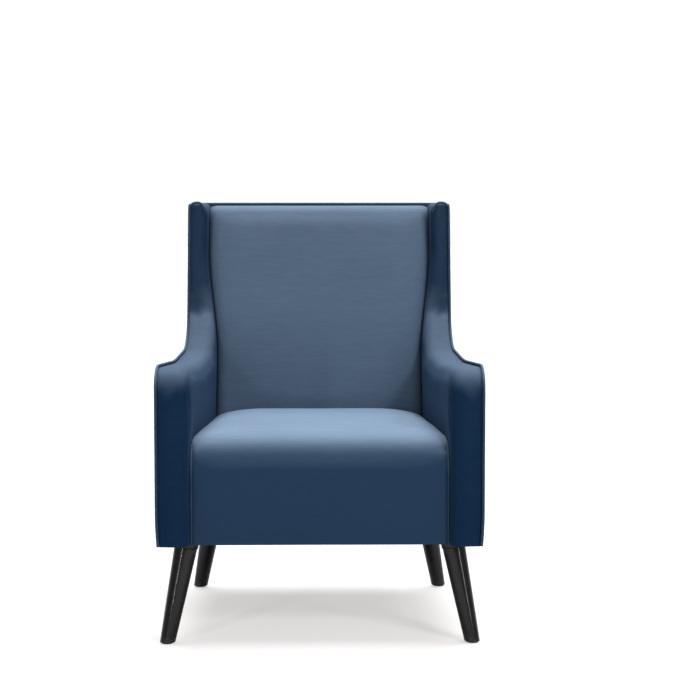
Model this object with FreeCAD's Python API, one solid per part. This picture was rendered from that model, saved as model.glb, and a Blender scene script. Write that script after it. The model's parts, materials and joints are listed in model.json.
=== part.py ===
"""Upholstered armchair with swept wing arms, a tight seat and back, and four splayed turned legs.

Millimetres. Origin on the floor under the middle of the chair, +Z up, the chair faces -Y.
Left and right are as seen from the front, so right is +X. Each side is drawn once, in a frame of its own:
X = -t, where t runs inwards from the outside face, and Y = s, which runs from the front to the rear.
It is then turned, set on the right, and mirrored for the left.
"""

import math
import os

import FreeCAD, Part
from FreeCAD import Vector

# ---------------------------------------------------------------- driving dimensions
# Overall
OVERALL_WIDTH = 710.0  # across the fronts of the arms
OVERALL_DEPTH = 801.2  # over the piping
BODY_BOTTOM = 220.0  # lower edge of the upholstery
WING_TOP = 957.0
ARM_HEIGHT = 611.0
SIDE_ANGLE = 3.15  # degrees that each side turns in towards the rear
REAR_BOTTOM_S = 690.0  # depth of a side at its lower edge
REAR_TOP_S = 787.0
ARM_THICKNESS = 70.0
WING_THICKNESS = 44.0
WING_START = 600.0  # height at which a side starts to get thinner
WING_KNEE = 830.0  # height from which it has the wing's thickness
WING_FOOT = 608.0  # height of the hollow corner between arm and wing

# Skins and play
COVER = 1.5  # velvet with its backing
CLOTH = 1.0  # black cloth under the seat
BOARD = 3.0  # hardboard behind the outside covers
GAP = 0.4  # play between a soft part and its neighbour
WELT_RADIUS = 3.0
SEAT_WELT_RADIUS = 2.5

# Timber frame
FRAME_BOTTOM = BODY_BOTTOM + 4.0
TIMBER = 28.0
TIMBER_T = (5.0, 5.0 + TIMBER)  # depth of a side's timber from the outside face
PLY = 18.0
EDGE_PADDING = 23.0  # padding over the timber's edges at the front and top of an arm
REAR_MARGIN = 5.5  # from the rear face to the timber
FRONT_POST_WIDTH = 52.0
REAR_POST_WIDTH = 58.0
ARM_RAIL_BOTTOM = 532.0
WING_BOARD_FRONT_S = 500.0
RAIL_HEIGHT = 118.0
RAIL_THICKNESS = 25.0
RAIL_TOP = FRAME_BOTTOM + RAIL_HEIGHT
TACK_RAIL = (20.0, 45.0)  # thickness and height
BACK_RAILS = (150.0, 350.0, 636.0)  # lower edge of each rail of the back, measured up the rear face
BACK_RAIL_HEIGHT = 66.0
BACK_TIMBER = (REAR_MARGIN, REAR_MARGIN + TIMBER)  # depth of the back's rails in front of the rear face
DOWEL_RADIUS = 5.0
DOWEL_LENGTH = 50.0
BLOCK_RUN = 92.0  # leg of a corner block's triangle
BLOCK_END = 20.0  # width of its cut-off points
BLOCK_HEIGHT = 46.0

# Springs and webbing
SPRING_XS = (-200.0, -100.0, 0.0, 100.0, 200.0)
SPRING_WIRE = 1.8
SPRING_HALF_WIDTH = 24.0
SPRING_BENDS = 22
SPRING_BEND_SHARE = 0.46  # radius of a bend, as a share of the pitch
DECK_Z = RAIL_TOP + 4.0  # middle of the seat springs
CLIP_PLAY = 0.2
CLIP = (28.0, 18.0, 1.0)  # width, length and metal thickness
PAD_THICKNESS = 2.0
WEBBING_XS = (-165.0, -55.0, 55.0, 165.0)
WEBBING = (60.0, 1.6)  # width and thickness
WEBBING_MARGIN = 12.0  # from its end to the outer edge of a rail

# Seat and back
SEAT_BOTTOM = DECK_Z + 6.0
SEAT_TOP = 459.0
SEAT_SETBACK = 24.0  # from the fronts of the arms to the front of the seat
SEAT_LIP = 20.0  # padding in front of the front rail
SEAT_ROLL = 62.0  # radius of the seat's front edge
BACK_FACE_S = 575.0  # depth of the back cushion's face at the height of the seat
BACK_FACE_SLOPE = 0.2316  # rearwards run of the back cushion's face for each unit of height
BACK_TOP = 952.0
BACK_ROLL = 34.0
CUSHION_PLAY = 1.0  # between a cushion and the arm covers
CUSHION_GAP = 2.0  # between the seat and the back
PADDING_JOINT_S = 330.0  # depth at which an arm's front padding meets its rear padding
PADDING_JOINT_Z = 628.0  # height at which they meet the wing's padding
COVER_RETURN = 42.0  # depth of an arm's front, where its cover runs down to the lower edge
PANEL_MARGIN = 0.5  # from the outline of a side or of the rear to the edge of its outside cover
WELT_CORNER = 17.0  # bend of the piping at the top of a wing
WELT_LIFT = 2.0  # from the lower edge of the upholstery to the ends of the piping
APRON_LIFT = 0.5  # from the lower edge of the upholstery to the lower edge of the seat's apron
SHARP = 0.5  # corner radius of a hidden edge of foam
SEAT_REAR_RADIUS = 12.0
BACK_REAR_RADIUS = 14.0
BACK_REAR_GAP = 3.0  # from the rear face to the back cushion, above the top rail

# Rear
REAR_TOP_RADIUS = 18.0
REAR_WELT_RADIUS = 20.0  # bend of the rear piping at its top corners
REAR_FOOT_RADIUS = 4.0
BOARD_RADIUS = 6.0
REAR_WELT_OVERHANG = 1.5  # how far the rear piping's middle lies outside the sides
REAR_WELT_LIFT = 3.0

# Legs
LEG_TOP_RADIUS = 27.0
LEG_FOOT_RADIUS = 16.5
COLLAR_HEIGHT = 14.0
COLLAR_GROOVE = 1.4
GLIDE_HEIGHT = 3.0
GLIDE_RADIUS = 12.0
PLATE_TOP = FRAME_BOTTOM - CLOTH
PLATE_THICKNESS = 3.0
PLATE_SIZE = 54.0
PLATE_CORNER = 6.0
HOLE_OFFSET = 22.0  # from the plate's middle
HUB_RADIUS = 6.5
HUB_HEIGHT = 6.0
HUB_HOLE = (10.0, 26.0, 7.0)  # below the leg's top, above it, and radius
BOLT_RADIUS = 4.0
BOLT = (40.0, 22.0)  # below the leg's top, and above it
BORE_DEPTH = 45.0
PLAY = 0.1  # round a bolt or a screw in its bore
SCREW_RADIUS = 1.9
SCREW_LENGTH = 18.0
SCREW_HEAD = (2.2, 4.0, 1.4)  # radius underneath, radius at the plate, and height
SCREW_HEAD_DROP = 1.5  # from the plate to the underside of a screw's head
PLATE_HOLE_PLAY = 0.4
STAPLE = (10.0, 1.2, 0.7)  # length, width and height of a crown
STAPLE_SPACING = 48.0
STAPLE_MARGIN = 6.0  # from the edge of the cloth
# Half width and depth from the front of each leg's axis: at the floor, and at the leg's top
FRONT_LEG = ((335.0, 44.0), (292.5, 73.0))
REAR_LEG = ((298.5, 667.0), (258.0, 642.0))

# The outline of a side, anticlockwise: depth, height, corner radius. A hollow corner's radius is below zero.
SIDE_OUTLINE = [
    (0.0, BODY_BOTTOM, 5.0),
    (REAR_BOTTOM_S, BODY_BOTTOM, 5.0),
    (REAR_TOP_S, WING_TOP, 12.0),
    (642.0, WING_TOP, 16.0),
    (598.0, WING_FOOT, -100.0),
    (330.0, 593.5, -900.0),
    (0.0, ARM_HEIGHT, 46.0),
]

FRONT_Y = 2 * WELT_RADIUS + GAP - OVERALL_DEPTH / 2
SEAT_FRONT_Y = FRONT_Y + SEAT_SETBACK
REAR_SLOPE = (REAR_TOP_S - REAR_BOTTOM_S) / (WING_TOP - BODY_BOTTOM)
RECLINE = math.degrees(math.atan(REAR_SLOPE))
RAIL_FRONT_Y = SEAT_FRONT_Y + SEAT_LIP + COVER + GAP
FAR = 1500.0  # past every piece of the chair
IN_FRONT = -60.0  # a depth in front of the whole chair
SAME_PLACE = 1e-4

PARTS = {}


# ---------------------------------------------------------------- helpers
def inset(points, distance):
    """The rounded polygon moved inwards by distance, or outwards where it is below zero."""
    count = len(points)
    moved = []
    for i, (s, z, radius) in enumerate(points):
        before, after = points[i - 1], points[(i + 1) % count]
        a = Vector(s - before[0], z - before[1], 0).normalize()
        b = Vector(after[0] - s, after[1] - z, 0).normalize()
        normal = Vector(-a.y - b.y, a.x + b.x, 0).normalize()
        reach = distance / (normal.y * a.x - normal.x * a.y)
        new_radius = max(radius - distance, 0.5) if radius > 0 else radius - distance
        moved.append((s + normal.x * reach, z + normal.y * reach, new_radius))
    return moved


def rounded_edges(points, closed=True):
    """Straight runs joined by tangent arcs, through 3-D points that each carry a radius."""
    count = len(points)
    corners = []
    for i, (here, radius) in enumerate(points):
        if not closed and i in (0, count - 1):
            corners.append((here, None, here))
            continue
        before = (points[i - 1][0] - here).normalize()
        after = (points[(i + 1) % count][0] - here).normalize()
        half = before.getAngle(after) / 2
        run = abs(radius) / math.tan(half)
        sagitta = abs(radius) / math.sin(half) - abs(radius)
        middle = here + (before + after).normalize() * sagitta
        corners.append((here + before * run, middle, here + after * run))
    edges = []
    for i, (start, middle, end) in enumerate(corners):
        if middle is not None and not start.isEqual(end, SAME_PLACE):
            edges.append(Part.Arc(start, middle, end).toShape())
        if closed or i < count - 1:
            follow = corners[(i + 1) % count][0]
            if not end.isEqual(follow, SAME_PLACE):
                edges.append(Part.LineSegment(end, follow).toShape())
    return edges


def slab(points, start, end):
    """A rounded polygon of depths and heights, filled and pushed from X = start to X = end."""
    wire = Part.Wire(rounded_edges([(Vector(start, s, z), radius) for s, z, radius in points]))
    return Part.Face(wire).extrude(Vector(end - start, 0, 0))


def prism(corners, push):
    """A flat polygon of 3-D corners, filled and pushed."""
    return Part.Face(Part.makePolygon(corners + corners[:1])).extrude(push)


def box(x0, x1, y0, y1, z0, z1):
    return Part.makeBox(x1 - x0, y1 - y0, z1 - z0, Vector(x0, y0, z0))


def rod(start, end, radius):
    return Part.makeCylinder(radius, (end - start).Length, start, end - start)


def tube(points, radius):
    """A round cord along straight runs and tangent arcs."""
    path = Part.Wire(rounded_edges(points, closed=False))
    start = points[0][0]
    profile = Part.Wire([Part.makeCircle(radius, start, points[1][0] - start)])
    return path.makePipeShell([profile], True, False)


def biggest(shape):
    """The largest solid of a shape, with a cut's loose crumbs left out."""
    return max(shape.Solids, key=lambda solid: solid.Volume)


def cut_where_close(shape, tools):
    """Cuts only the tools that come near the shape."""
    for tool in tools:
        if shape.BoundBox.intersect(tool.BoundBox):
            shape = shape.cut(tool)
    return shape


def mirrored(shape):
    return shape.mirror(Vector(0, 0, 0), Vector(1, 0, 0))


def with_mirror_images(shapes):
    return shapes + [mirrored(shape) for shape in shapes]


def on_right(shape):
    """A shape drawn in the side's frame, set in its place on the right."""
    moved = shape.copy()
    moved.rotate(Vector(0, 0, 0), Vector(0, 0, 1), SIDE_ANGLE)
    moved.translate(Vector(OVERALL_WIDTH / 2, FRONT_Y, 0))
    return moved


def on_rear(shape):
    """A shape drawn against the rear face, with Y = 0 on that face and Z up along it, set in its place."""
    moved = shape.copy()
    moved.rotate(Vector(0, 0, 0), Vector(1, 0, 0), -RECLINE)
    moved.translate(Vector(0, FRONT_Y + REAR_BOTTOM_S, BODY_BOTTOM))
    return moved


def add_pair(name, shape):
    """Adds a piece of the right side, and its mirror image on the left."""
    PARTS["right_" + name] = shape
    PARTS["left_" + name] = mirrored(shape)


def rear_s(z):
    """Depth of the rear face at a height."""
    return REAR_BOTTOM_S + (z - BODY_BOTTOM) * REAR_SLOPE


def side_x(s, t=0.0):
    """Half width of the chair at a depth, t inside the outside face."""
    return OVERALL_WIDTH / 2 - s * math.tan(math.radians(SIDE_ANGLE)) - t


# ---------------------------------------------------------------- legs
def leg_ends(leg):
    """The foot and the top of a right leg's axis."""
    (foot_x, foot_s), (top_x, top_s) = leg
    foot = Vector(foot_x, FRONT_Y + foot_s, 0)
    top = Vector(top_x, FRONT_Y + top_s, PLATE_TOP - PLATE_THICKNESS)
    return foot, top


def along_leg(leg, below, above, radius):
    """A rod on a leg's axis, from below the leg's top to above it."""
    foot, top = leg_ends(leg)
    axis = (top - foot).normalize()
    return rod(top - axis * below, top + axis * above, radius)


def turned_leg(leg):
    """A tapered round leg with a collar at its top, cut level at both ends and bored for its bolt."""
    foot, top = leg_ends(leg)
    length = (top - foot).Length
    spare = 20.0
    collar = length - COLLAR_HEIGHT
    profile = [
        (0, -spare),
        (LEG_FOOT_RADIUS, -spare),
        (LEG_FOOT_RADIUS, 0),
        (LEG_TOP_RADIUS - 1, collar - COLLAR_GROOVE),
        (LEG_TOP_RADIUS - COLLAR_GROOVE - 1, collar),
        (LEG_TOP_RADIUS, collar + COLLAR_GROOVE),
        (LEG_TOP_RADIUS, length + spare),
        (0, length + spare),
    ]
    points = [Vector(r, 0, z) for r, z in profile]
    turned = Part.Face(Part.makePolygon(points + points[:1])).revolve(Vector(0, 0, 0), Vector(0, 0, 1), 360)
    turned.Placement = FreeCAD.Placement(foot, FreeCAD.Rotation(Vector(0, 0, 1), top - foot))
    level = box(0, FAR, -FAR, FAR, GLIDE_HEIGHT, top.z)
    return turned.common(level).cut(along_leg(leg, BORE_DEPTH, spare, BOLT_RADIUS + PLAY))


def hanger_bolt(leg):
    """The threaded rod that joins a leg to its plate."""
    return along_leg(leg, *BOLT, BOLT_RADIUS)


def screw_places(leg):
    _, top = leg_ends(leg)
    offsets = (-HOLE_OFFSET, HOLE_OFFSET)
    return [Vector(top.x + dx, top.y + dy, PLATE_TOP) for dx in offsets for dy in offsets]


def leg_plate(leg):
    """A square steel plate with a threaded hub that leans with the leg."""
    _, top = leg_ends(leg)
    half = PLATE_SIZE / 2
    plate = box(top.x - half, top.x + half, top.y - half, top.y + half, top.z, PLATE_TOP)
    upright = [edge for edge in plate.Edges if edge.Length < PLATE_THICKNESS + PLAY]
    plate = plate.makeFillet(PLATE_CORNER, upright)
    through = Vector(0, 0, 2 * PLATE_THICKNESS)
    for place in screw_places(leg):
        plate = plate.cut(rod(place - through, place + through, SCREW_RADIUS + PLATE_HOLE_PLAY))
    hub_room = box(0, FAR, -FAR, FAR, PLATE_TOP, PLATE_TOP + HUB_HEIGHT)
    hub = along_leg(leg, HUB_HEIGHT, 2 * HUB_HEIGHT, HUB_RADIUS).common(hub_room)
    bore = along_leg(leg, BORE_DEPTH, BORE_DEPTH, BOLT_RADIUS + PLAY)
    return plate.fuse(hub).removeSplitter().cut(bore)


def plate_screw(place):
    """A wood screw through the plate, with its head underneath."""
    head_low = place - Vector(0, 0, PLATE_THICKNESS + SCREW_HEAD_DROP)
    head = Part.makeCone(*SCREW_HEAD, head_low)
    shank = rod(head_low + Vector(0, 0, SCREW_HEAD[2] / 2), place + Vector(0, 0, SCREW_LENGTH), SCREW_RADIUS)
    return shank.fuse(head)


def make_legs():
    pairs = (FRONT_LEG, REAR_LEG)
    for name, leg in zip(("front", "rear"), pairs):
        right = turned_leg(leg)
        PARTS[name + "_right_leg"] = right
        PARTS[name + "_left_leg"] = mirrored(right)
    glides = [Part.makeCylinder(GLIDE_RADIUS, GLIDE_HEIGHT, leg_ends(leg)[0]) for leg in pairs]
    screws = [plate_screw(place) for leg in pairs for place in screw_places(leg)]
    PARTS["leg_bolts"] = Part.Compound(with_mirror_images([hanger_bolt(leg) for leg in pairs]))
    PARTS["leg_plates"] = Part.Compound(with_mirror_images([leg_plate(leg) for leg in pairs]))
    PARTS["plate_screws"] = Part.Compound(with_mirror_images(screws))
    PARTS["foot_glides"] = Part.Compound(with_mirror_images(glides))


def leg_holes():
    """What the frame and the bottom cloth are bored for: the plates' hubs, the bolts and the screws."""
    tools = []
    for leg in (FRONT_LEG, REAR_LEG):
        tools.append(along_leg(leg, *HUB_HOLE))
        for place in screw_places(leg):
            bottom, top = place - Vector(0, 0, 2 * CLOTH), place + Vector(0, 0, SCREW_LENGTH + CLOTH)
            tools.append(rod(bottom, top, SCREW_RADIUS + PLAY))
    return with_mirror_images(tools)


# ---------------------------------------------------------------- the timber frame
def timber_outline(margin, rear_margin, low):
    """The side's outline moved in by margin, or by rear_margin at the rear, with its lower edge at low."""
    moved = []
    for s, z, radius in SIDE_OUTLINE:
        rearwards = margin - rear_margin if s >= REAR_BOTTOM_S else 0
        moved.append((s + rearwards, low - margin if z == BODY_BOTTOM else z, radius))
    return inset(moved, margin)


def side_frame():
    """The timber of a side, in the side's frame."""
    outer, inner = TIMBER_T
    whole = slab(timber_outline(EDGE_PADDING, REAR_MARGIN, FRAME_BOTTOM), -inner, -outer)
    post_rear = EDGE_PADDING + FRONT_POST_WIDTH
    behind = REAR_MARGIN + REAR_POST_WIDTH

    def timber(front, rear):
        """The timber between two sloping lines, each a pair of depths at the floor and far above it."""
        corners = [(front[0], 0), (rear[0], 0), (rear[1], FAR), (front[1], FAR)]
        return whole.common(prism([Vector(-inner, s, z) for s, z in corners], Vector(TIMBER, 0, 0)))

    rear_post_front = (rear_s(0) - behind, rear_s(FAR) - behind)
    board_front = (WING_BOARD_FRONT_S, WING_BOARD_FRONT_S)
    above_rail = box(-FAR, 0, 0, FAR, ARM_RAIL_BOTTOM, FAR)
    middle = (outer + inner) / 2
    board_layer = box(-middle - PLY / 2, -middle + PLY / 2, 0, FAR, ARM_RAIL_BOTTOM, FAR)
    rear_post = timber(rear_post_front, (FAR, FAR))
    thickness, height = TACK_RAIL
    tack_rail = box(-outer - thickness, -outer, post_rear, REAR_BOTTOM_S, FRAME_BOTTOM, FRAME_BOTTOM + height)
    outside = inner + BOARD
    seat_rail = box(-outside - TIMBER, -outside, 0, REAR_BOTTOM_S, FRAME_BOTTOM, RAIL_TOP)
    return {
        "front_post": timber((0, 0), (post_rear, post_rear)),
        "rear_post": rear_post,
        "arm_rail": timber((post_rear, post_rear), board_front).common(above_rail),
        "wing_board": timber(board_front, rear_post_front).common(board_layer),
        "tack_rail": biggest(tack_rail.cut(rear_post)),
        "seat_rail": seat_rail,
    }


def rear_rail_y():
    """Middle of the rear rail, which lies between the rear posts."""
    return FRONT_Y + rear_s(FRAME_BOTTOM + RAIL_HEIGHT / 2) - REAR_MARGIN - REAR_POST_WIDTH / 2


def dowels():
    """Beech dowels across the joints between the rails and the posts."""
    half = DOWEL_LENGTH / 2
    inner = TIMBER_T[1]
    found = []
    for y in (RAIL_FRONT_Y + RAIL_THICKNESS / 2, rear_rail_y()):
        x = side_x(y - FRONT_Y, inner)
        for z in (FRAME_BOTTOM + RAIL_HEIGHT / 4, FRAME_BOTTOM + RAIL_HEIGHT * 3 / 4):
            found.append(rod(Vector(x - half, y, z), Vector(x + half, y, z), DOWEL_RADIUS))
    for w in BACK_RAILS:
        x = side_x(rear_s(BODY_BOTTOM + w), inner)
        y = -(BACK_TIMBER[0] + BACK_TIMBER[1]) / 2
        middle = w + BACK_RAIL_HEIGHT / 2
        found.append(on_rear(rod(Vector(x - half, y, middle), Vector(x + half, y, middle), DOWEL_RADIUS)))
    return found


def corner_block(seat_rail, front_y, direction):
    """A glued block in a corner of the base, which a leg plate is screwed to."""
    x = side_x(front_y - FRONT_Y, TIMBER_T[1] + TIMBER)
    run, end = BLOCK_RUN, BLOCK_END
    corners = [(TIMBER, 0), (-run, 0), (-run, end), (-end, run), (TIMBER, run)]
    base = [Vector(x + across, front_y + direction * depth, FRAME_BOTTOM) for across, depth in corners]
    block = prism(base, Vector(0, 0, BLOCK_HEIGHT)).cut(seat_rail)
    return min(block.Solids, key=lambda solid: solid.CenterOfMass.x)


def between_sides(shape, edge):
    """The part of a shape that is more than edge inside the outside faces."""
    room = on_right(box(-FAR, -edge, IN_FRONT, FAR, 0, FAR))
    return shape.common(room).common(mirrored(room))


def make_frame():
    side = {name: on_right(shape) for name, shape in side_frame().items()}
    pegs = with_mirror_images(dowels())
    holes = pegs + leg_holes()
    reach = OVERALL_WIDTH / 2
    front_inside = RAIL_FRONT_Y + RAIL_THICKNESS
    rear_inside = rear_rail_y() - RAIL_THICKNESS / 2
    rails = {
        "front_rail": box(-reach, reach, RAIL_FRONT_Y, front_inside, FRAME_BOTTOM, RAIL_TOP),
        "rear_rail": box(-reach, reach, rear_inside, rear_inside + RAIL_THICKNESS, FRAME_BOTTOM, RAIL_TOP),
    }
    for name, w in zip(("back_lower_rail", "back_middle_rail", "back_top_rail"), BACK_RAILS):
        timber = box(-reach, reach, -BACK_TIMBER[1], -BACK_TIMBER[0], w, w + BACK_RAIL_HEIGHT)
        rails[name] = on_rear(timber)
    for name, rail in rails.items():
        PARTS[name] = cut_where_close(between_sides(rail, TIMBER_T[1]), holes)
    side["seat_rail"] = side["seat_rail"].common(box(0, FAR, front_inside, rear_inside, 0, FAR))
    ends = ((front_inside, 1), (rear_inside, -1))
    blocks = [cut_where_close(corner_block(side["seat_rail"], y, way), holes) for y, way in ends]
    for name, shape in side.items():
        add_pair(name, cut_where_close(shape, holes))
    PARTS["corner_blocks"] = Part.Compound(with_mirror_images(blocks))
    PARTS["frame_dowels"] = Part.Compound(pegs)


# ---------------------------------------------------------------- springs and webbing
def sinuous_spring(x, y0, y1):
    """One zigzag seat spring, from the front rail to the rear rail."""
    pitch = (y1 - y0) / SPRING_BENDS
    radius = pitch * SPRING_BEND_SHARE
    points = [(Vector(x - SPRING_HALF_WIDTH / 2, y0, DECK_Z), 0)]
    side = 1
    for i in range(SPRING_BENDS):
        y = y0 + i * pitch
        points.append((Vector(x + side * SPRING_HALF_WIDTH, y, DECK_Z), radius))
        points.append((Vector(x + side * SPRING_HALF_WIDTH, y + pitch, DECK_Z), radius))
        side = -side
    points.append((Vector(x, y1, DECK_Z), 0))
    return tube(points, SPRING_WIRE)


def spring_clip(x, y, direction):
    """A folded steel clip that is open towards the spring."""
    width, length, metal = CLIP
    floor, roof = RAIL_TOP + metal, DECK_Z + SPRING_WIRE + CLIP_PLAY
    block = box(x - width / 2, x + width / 2, y - length / 2, y + length / 2, RAIL_TOP, roof + metal)
    near, far = sorted((y - direction * (length / 2 - metal), y + direction * length))
    return block.cut(box(x - width, x + width, near, far, floor, roof))


def make_suspension():
    front_y, rear_y = RAIL_FRONT_Y + RAIL_THICKNESS / 2, rear_rail_y()
    springs = [sinuous_spring(x, front_y, rear_y) for x in SPRING_XS]
    clips = [spring_clip(x, y, way) for x in SPRING_XS for y, way in ((front_y, 1), (rear_y, -1))]
    PARTS["seat_springs"] = Part.Compound(springs)
    PARTS["spring_clips"] = Part.Compound(clips)
    width, thickness = WEBBING
    low, high = BACK_RAILS[0] + WEBBING_MARGIN, BACK_RAILS[-1] + BACK_RAIL_HEIGHT - WEBBING_MARGIN
    front = -BACK_TIMBER[1]
    bands = [box(x - width / 2, x + width / 2, front - thickness, front, low, high) for x in WEBBING_XS]
    PARTS["back_webbing"] = Part.Compound([on_rear(band) for band in bands])


# ---------------------------------------------------------------- arms
def wing_relief(thickness):
    """The wedge that makes a side thinner up its wing, for a side that is this thick at the arm."""
    thin = ARM_THICKNESS - WING_THICKNESS - thickness
    corners = [(-thickness, WING_START), (thin, WING_KNEE), (thin, FAR), (-FAR, FAR), (-FAR, WING_START)]
    return prism([Vector(x, 0, z) for x, z in corners], Vector(0, FAR, 0))


def make_arms():
    """Padding, inside cover, outside board and outside cover of each side."""
    inner = TIMBER_T[1] + GAP
    plain = ARM_THICKNESS - COVER
    under_seat = box(-FAR, -inner, COVER_RETURN, FAR, 0, SEAT_BOTTOM - PAD_THICKNESS - GAP)
    rails = [PARTS[name] for name in PARTS if name.endswith("_rail")] + PARTS["frame_dowels"].Solids
    padding = slab(inset(SIDE_OUTLINE, COVER + GAP), -plain + GAP, -TIMBER_T[0])
    hollow = slab(timber_outline(EDGE_PADDING - GAP, REAR_MARGIN - GAP, 0), -inner, 0)
    rear_room = prism([Vector(-FAR, rear_s(z) - BACK_TIMBER[1] - GAP, z) for z in (0, FAR)]
                      + [Vector(-FAR, FAR, FAR), Vector(-FAR, FAR, 0)], Vector(FAR - inner, 0, 0))
    under_arm = box(-FAR, FAR, COVER_RETURN, FAR, 0, FRAME_BOTTOM)
    padding = padding.cut(hollow).cut(rear_room).cut(under_seat).cut(under_arm).cut(wing_relief(plain - GAP))
    skin = slab(SIDE_OUTLINE, -ARM_THICKNESS, -COVER - GAP).cut(wing_relief(ARM_THICKNESS))
    core = slab(inset(SIDE_OUTLINE, COVER), -plain, GAP).cut(wing_relief(plain))
    cover = skin.cut(core).cut(under_arm).cut(under_seat)
    board = slab(inset(SIDE_OUTLINE, COVER + BOARD), -COVER - GAP - BOARD, -COVER - GAP)
    outside = slab(inset(SIDE_OUTLINE, PANEL_MARGIN), -COVER, 0)
    rear_half = box(-FAR, FAR, PADDING_JOINT_S, FAR, 0, FAR)
    wing = box(-FAR, FAR, 0, FAR, PADDING_JOINT_Z, FAR)
    pads = {
        "arm_front_padding": padding.cut(rear_half).cut(wing),
        "arm_rear_padding": padding.common(rear_half).cut(wing),
        "wing_padding": padding.common(wing),
    }
    for name, pad in pads.items():
        add_pair(name, biggest(cut_where_close(on_right(pad), rails)))
    add_pair("arm_cover", biggest(cut_where_close(on_right(cover), rails)))
    add_pair("side_board", on_right(board))
    add_pair("side_cover", on_right(outside))
    add_pair("arm_welt", on_right(arm_welt()))


def arm_welt():
    """The piping of an arm: up its front, along the sweep, up the wing and across the wing's top."""
    line = inset(SIDE_OUTLINE, -(WELT_RADIUS + GAP))
    wing_top, wing_foot, middle, front = ((Vector(-COVER, s, z), abs(radius)) for s, z, radius in line[3:])
    start = (Vector(-COVER, front[0].y, BODY_BOTTOM + WELT_LIFT), 0)
    corner = (wing_top[0], WELT_CORNER)
    end = (wing_top[0] - Vector(WING_THICKNESS - 2 * WELT_RADIUS, 0, 0), 0)
    return tube([start, front, middle, wing_foot, corner, end], WELT_RADIUS)


# ---------------------------------------------------------------- seat and back
def between_arms(shape, play):
    """Trims a cushion to the space between the two arms."""
    edge = ARM_THICKNESS + play
    low_room = box(-FAR, -edge, IN_FRONT, FAR, 0, WING_START)
    wing_room = wing_relief(edge).common(box(-FAR, 0, IN_FRONT, FAR, WING_START, FAR))
    room = on_right(low_room.fuse(wing_room))
    return shape.common(room).common(mirrored(room))


def back_face_y(z):
    return FRONT_Y + BACK_FACE_S + (z - SEAT_TOP) * BACK_FACE_SLOPE


def make_seat():
    """A tight seat: foam with a rolled front edge and an apron, under a cover that wraps it."""
    apron_bottom = BODY_BOTTOM + APRON_LIFT
    rail_side = RAIL_FRONT_Y - GAP / 2
    low_rear, rear_top = (back_face_y(z) - CUSHION_GAP for z in (SEAT_BOTTOM, SEAT_TOP))

    def outline(depth):
        top = SEAT_TOP - depth
        return [
            (SEAT_FRONT_Y + depth, apron_bottom, COVER),
            (rail_side, apron_bottom, SHARP),
            (rail_side, SEAT_BOTTOM, SHARP),
            (low_rear, SEAT_BOTTOM, SHARP),
            (rear_top, top, SEAT_REAR_RADIUS),
            (SEAT_FRONT_Y + depth, top, SEAT_ROLL - depth),
        ]

    width = OVERALL_WIDTH / 2
    body = between_arms(slab(outline(0), -width, width), CUSHION_PLAY)
    core = slab(outline(COVER), -width, width)
    PARTS["seat_cover"] = biggest(body.cut(core))
    PARTS["seat_foam"] = between_arms(slab(outline(COVER + GAP / 2), -width, width), CUSHION_PLAY)
    low = SEAT_BOTTOM - PAD_THICKNESS - GAP / 2
    pad = box(-width, width, RAIL_FRONT_Y, low_rear - CUSHION_GAP, low, low + PAD_THICKNESS)
    PARTS["spring_pad"] = between_arms(pad, CUSHION_PLAY + GAP)


def make_back():
    """A tight back: foam in front of the back's rails, under a cover that wraps its face and top."""
    width = OVERALL_WIDTH / 2
    low = SEAT_BOTTOM + CUSHION_GAP
    flat = math.cos(math.radians(RECLINE))
    shelf = BODY_BOTTOM + (BACK_RAILS[-1] + BACK_RAIL_HEIGHT) * flat + 2 * REAR_SLOPE * BACK_TIMBER[1]

    def rear_y(z, depth):
        return FRONT_Y + rear_s(z) - depth / flat

    def outline(depth):
        top = BACK_TOP - depth
        behind = BACK_TIMBER[1] + WEBBING[1] + GAP
        return [
            (back_face_y(low) + depth, low, COVER),
            (rear_y(low, behind), low, COVER),
            (rear_y(shelf, behind), shelf, SHARP),
            (rear_y(shelf, BACK_REAR_GAP), shelf, SHARP),
            (rear_y(top, BACK_REAR_GAP), top, BACK_REAR_RADIUS),
            (back_face_y(top) + depth, top, BACK_ROLL - depth),
        ]

    top, beneath = BACK_TOP - COVER, BODY_BOTTOM
    beyond = [
        (back_face_y(beneath) + COVER, beneath, SHARP),
        (FAR, beneath, SHARP),
        (FAR, top, SHARP),
        (back_face_y(top) + COVER, top, BACK_ROLL - COVER),
    ]
    body = between_arms(slab(outline(0), -width, width), CUSHION_PLAY)
    PARTS["back_cover"] = biggest(body.cut(slab(beyond, -width, width)))
    PARTS["back_foam"] = between_arms(slab(outline(COVER + GAP / 2), -width, width), CUSHION_PLAY)


def make_seat_welts():
    """Piping down each side of the seat's front."""
    y = SEAT_FRONT_Y - SEAT_WELT_RADIUS - GAP
    x = side_x(y - FRONT_Y, ARM_THICKNESS) - SEAT_WELT_RADIUS - CUSHION_PLAY
    low, high = BODY_BOTTOM + 2 * WELT_LIFT, SEAT_TOP - SEAT_ROLL
    add_pair("seat_welt", rod(Vector(x, y, low), Vector(x, y, high), SEAT_WELT_RADIUS))


# ---------------------------------------------------------------- rear and underside
def rear_outline(margin, low, high, radius, y):
    """Corners of a panel on the rear face, with its edge a margin inside the chair's sides."""
    corners = []
    foot = REAR_FOOT_RADIUS
    for side, w, corner_radius in ((-1, low, foot), (1, low, foot), (1, high, radius), (-1, high, radius)):
        x = side_x(rear_s(BODY_BOTTOM + w)) - margin
        corners.append((Vector(side * x, y, w), corner_radius))
    return corners


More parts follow.
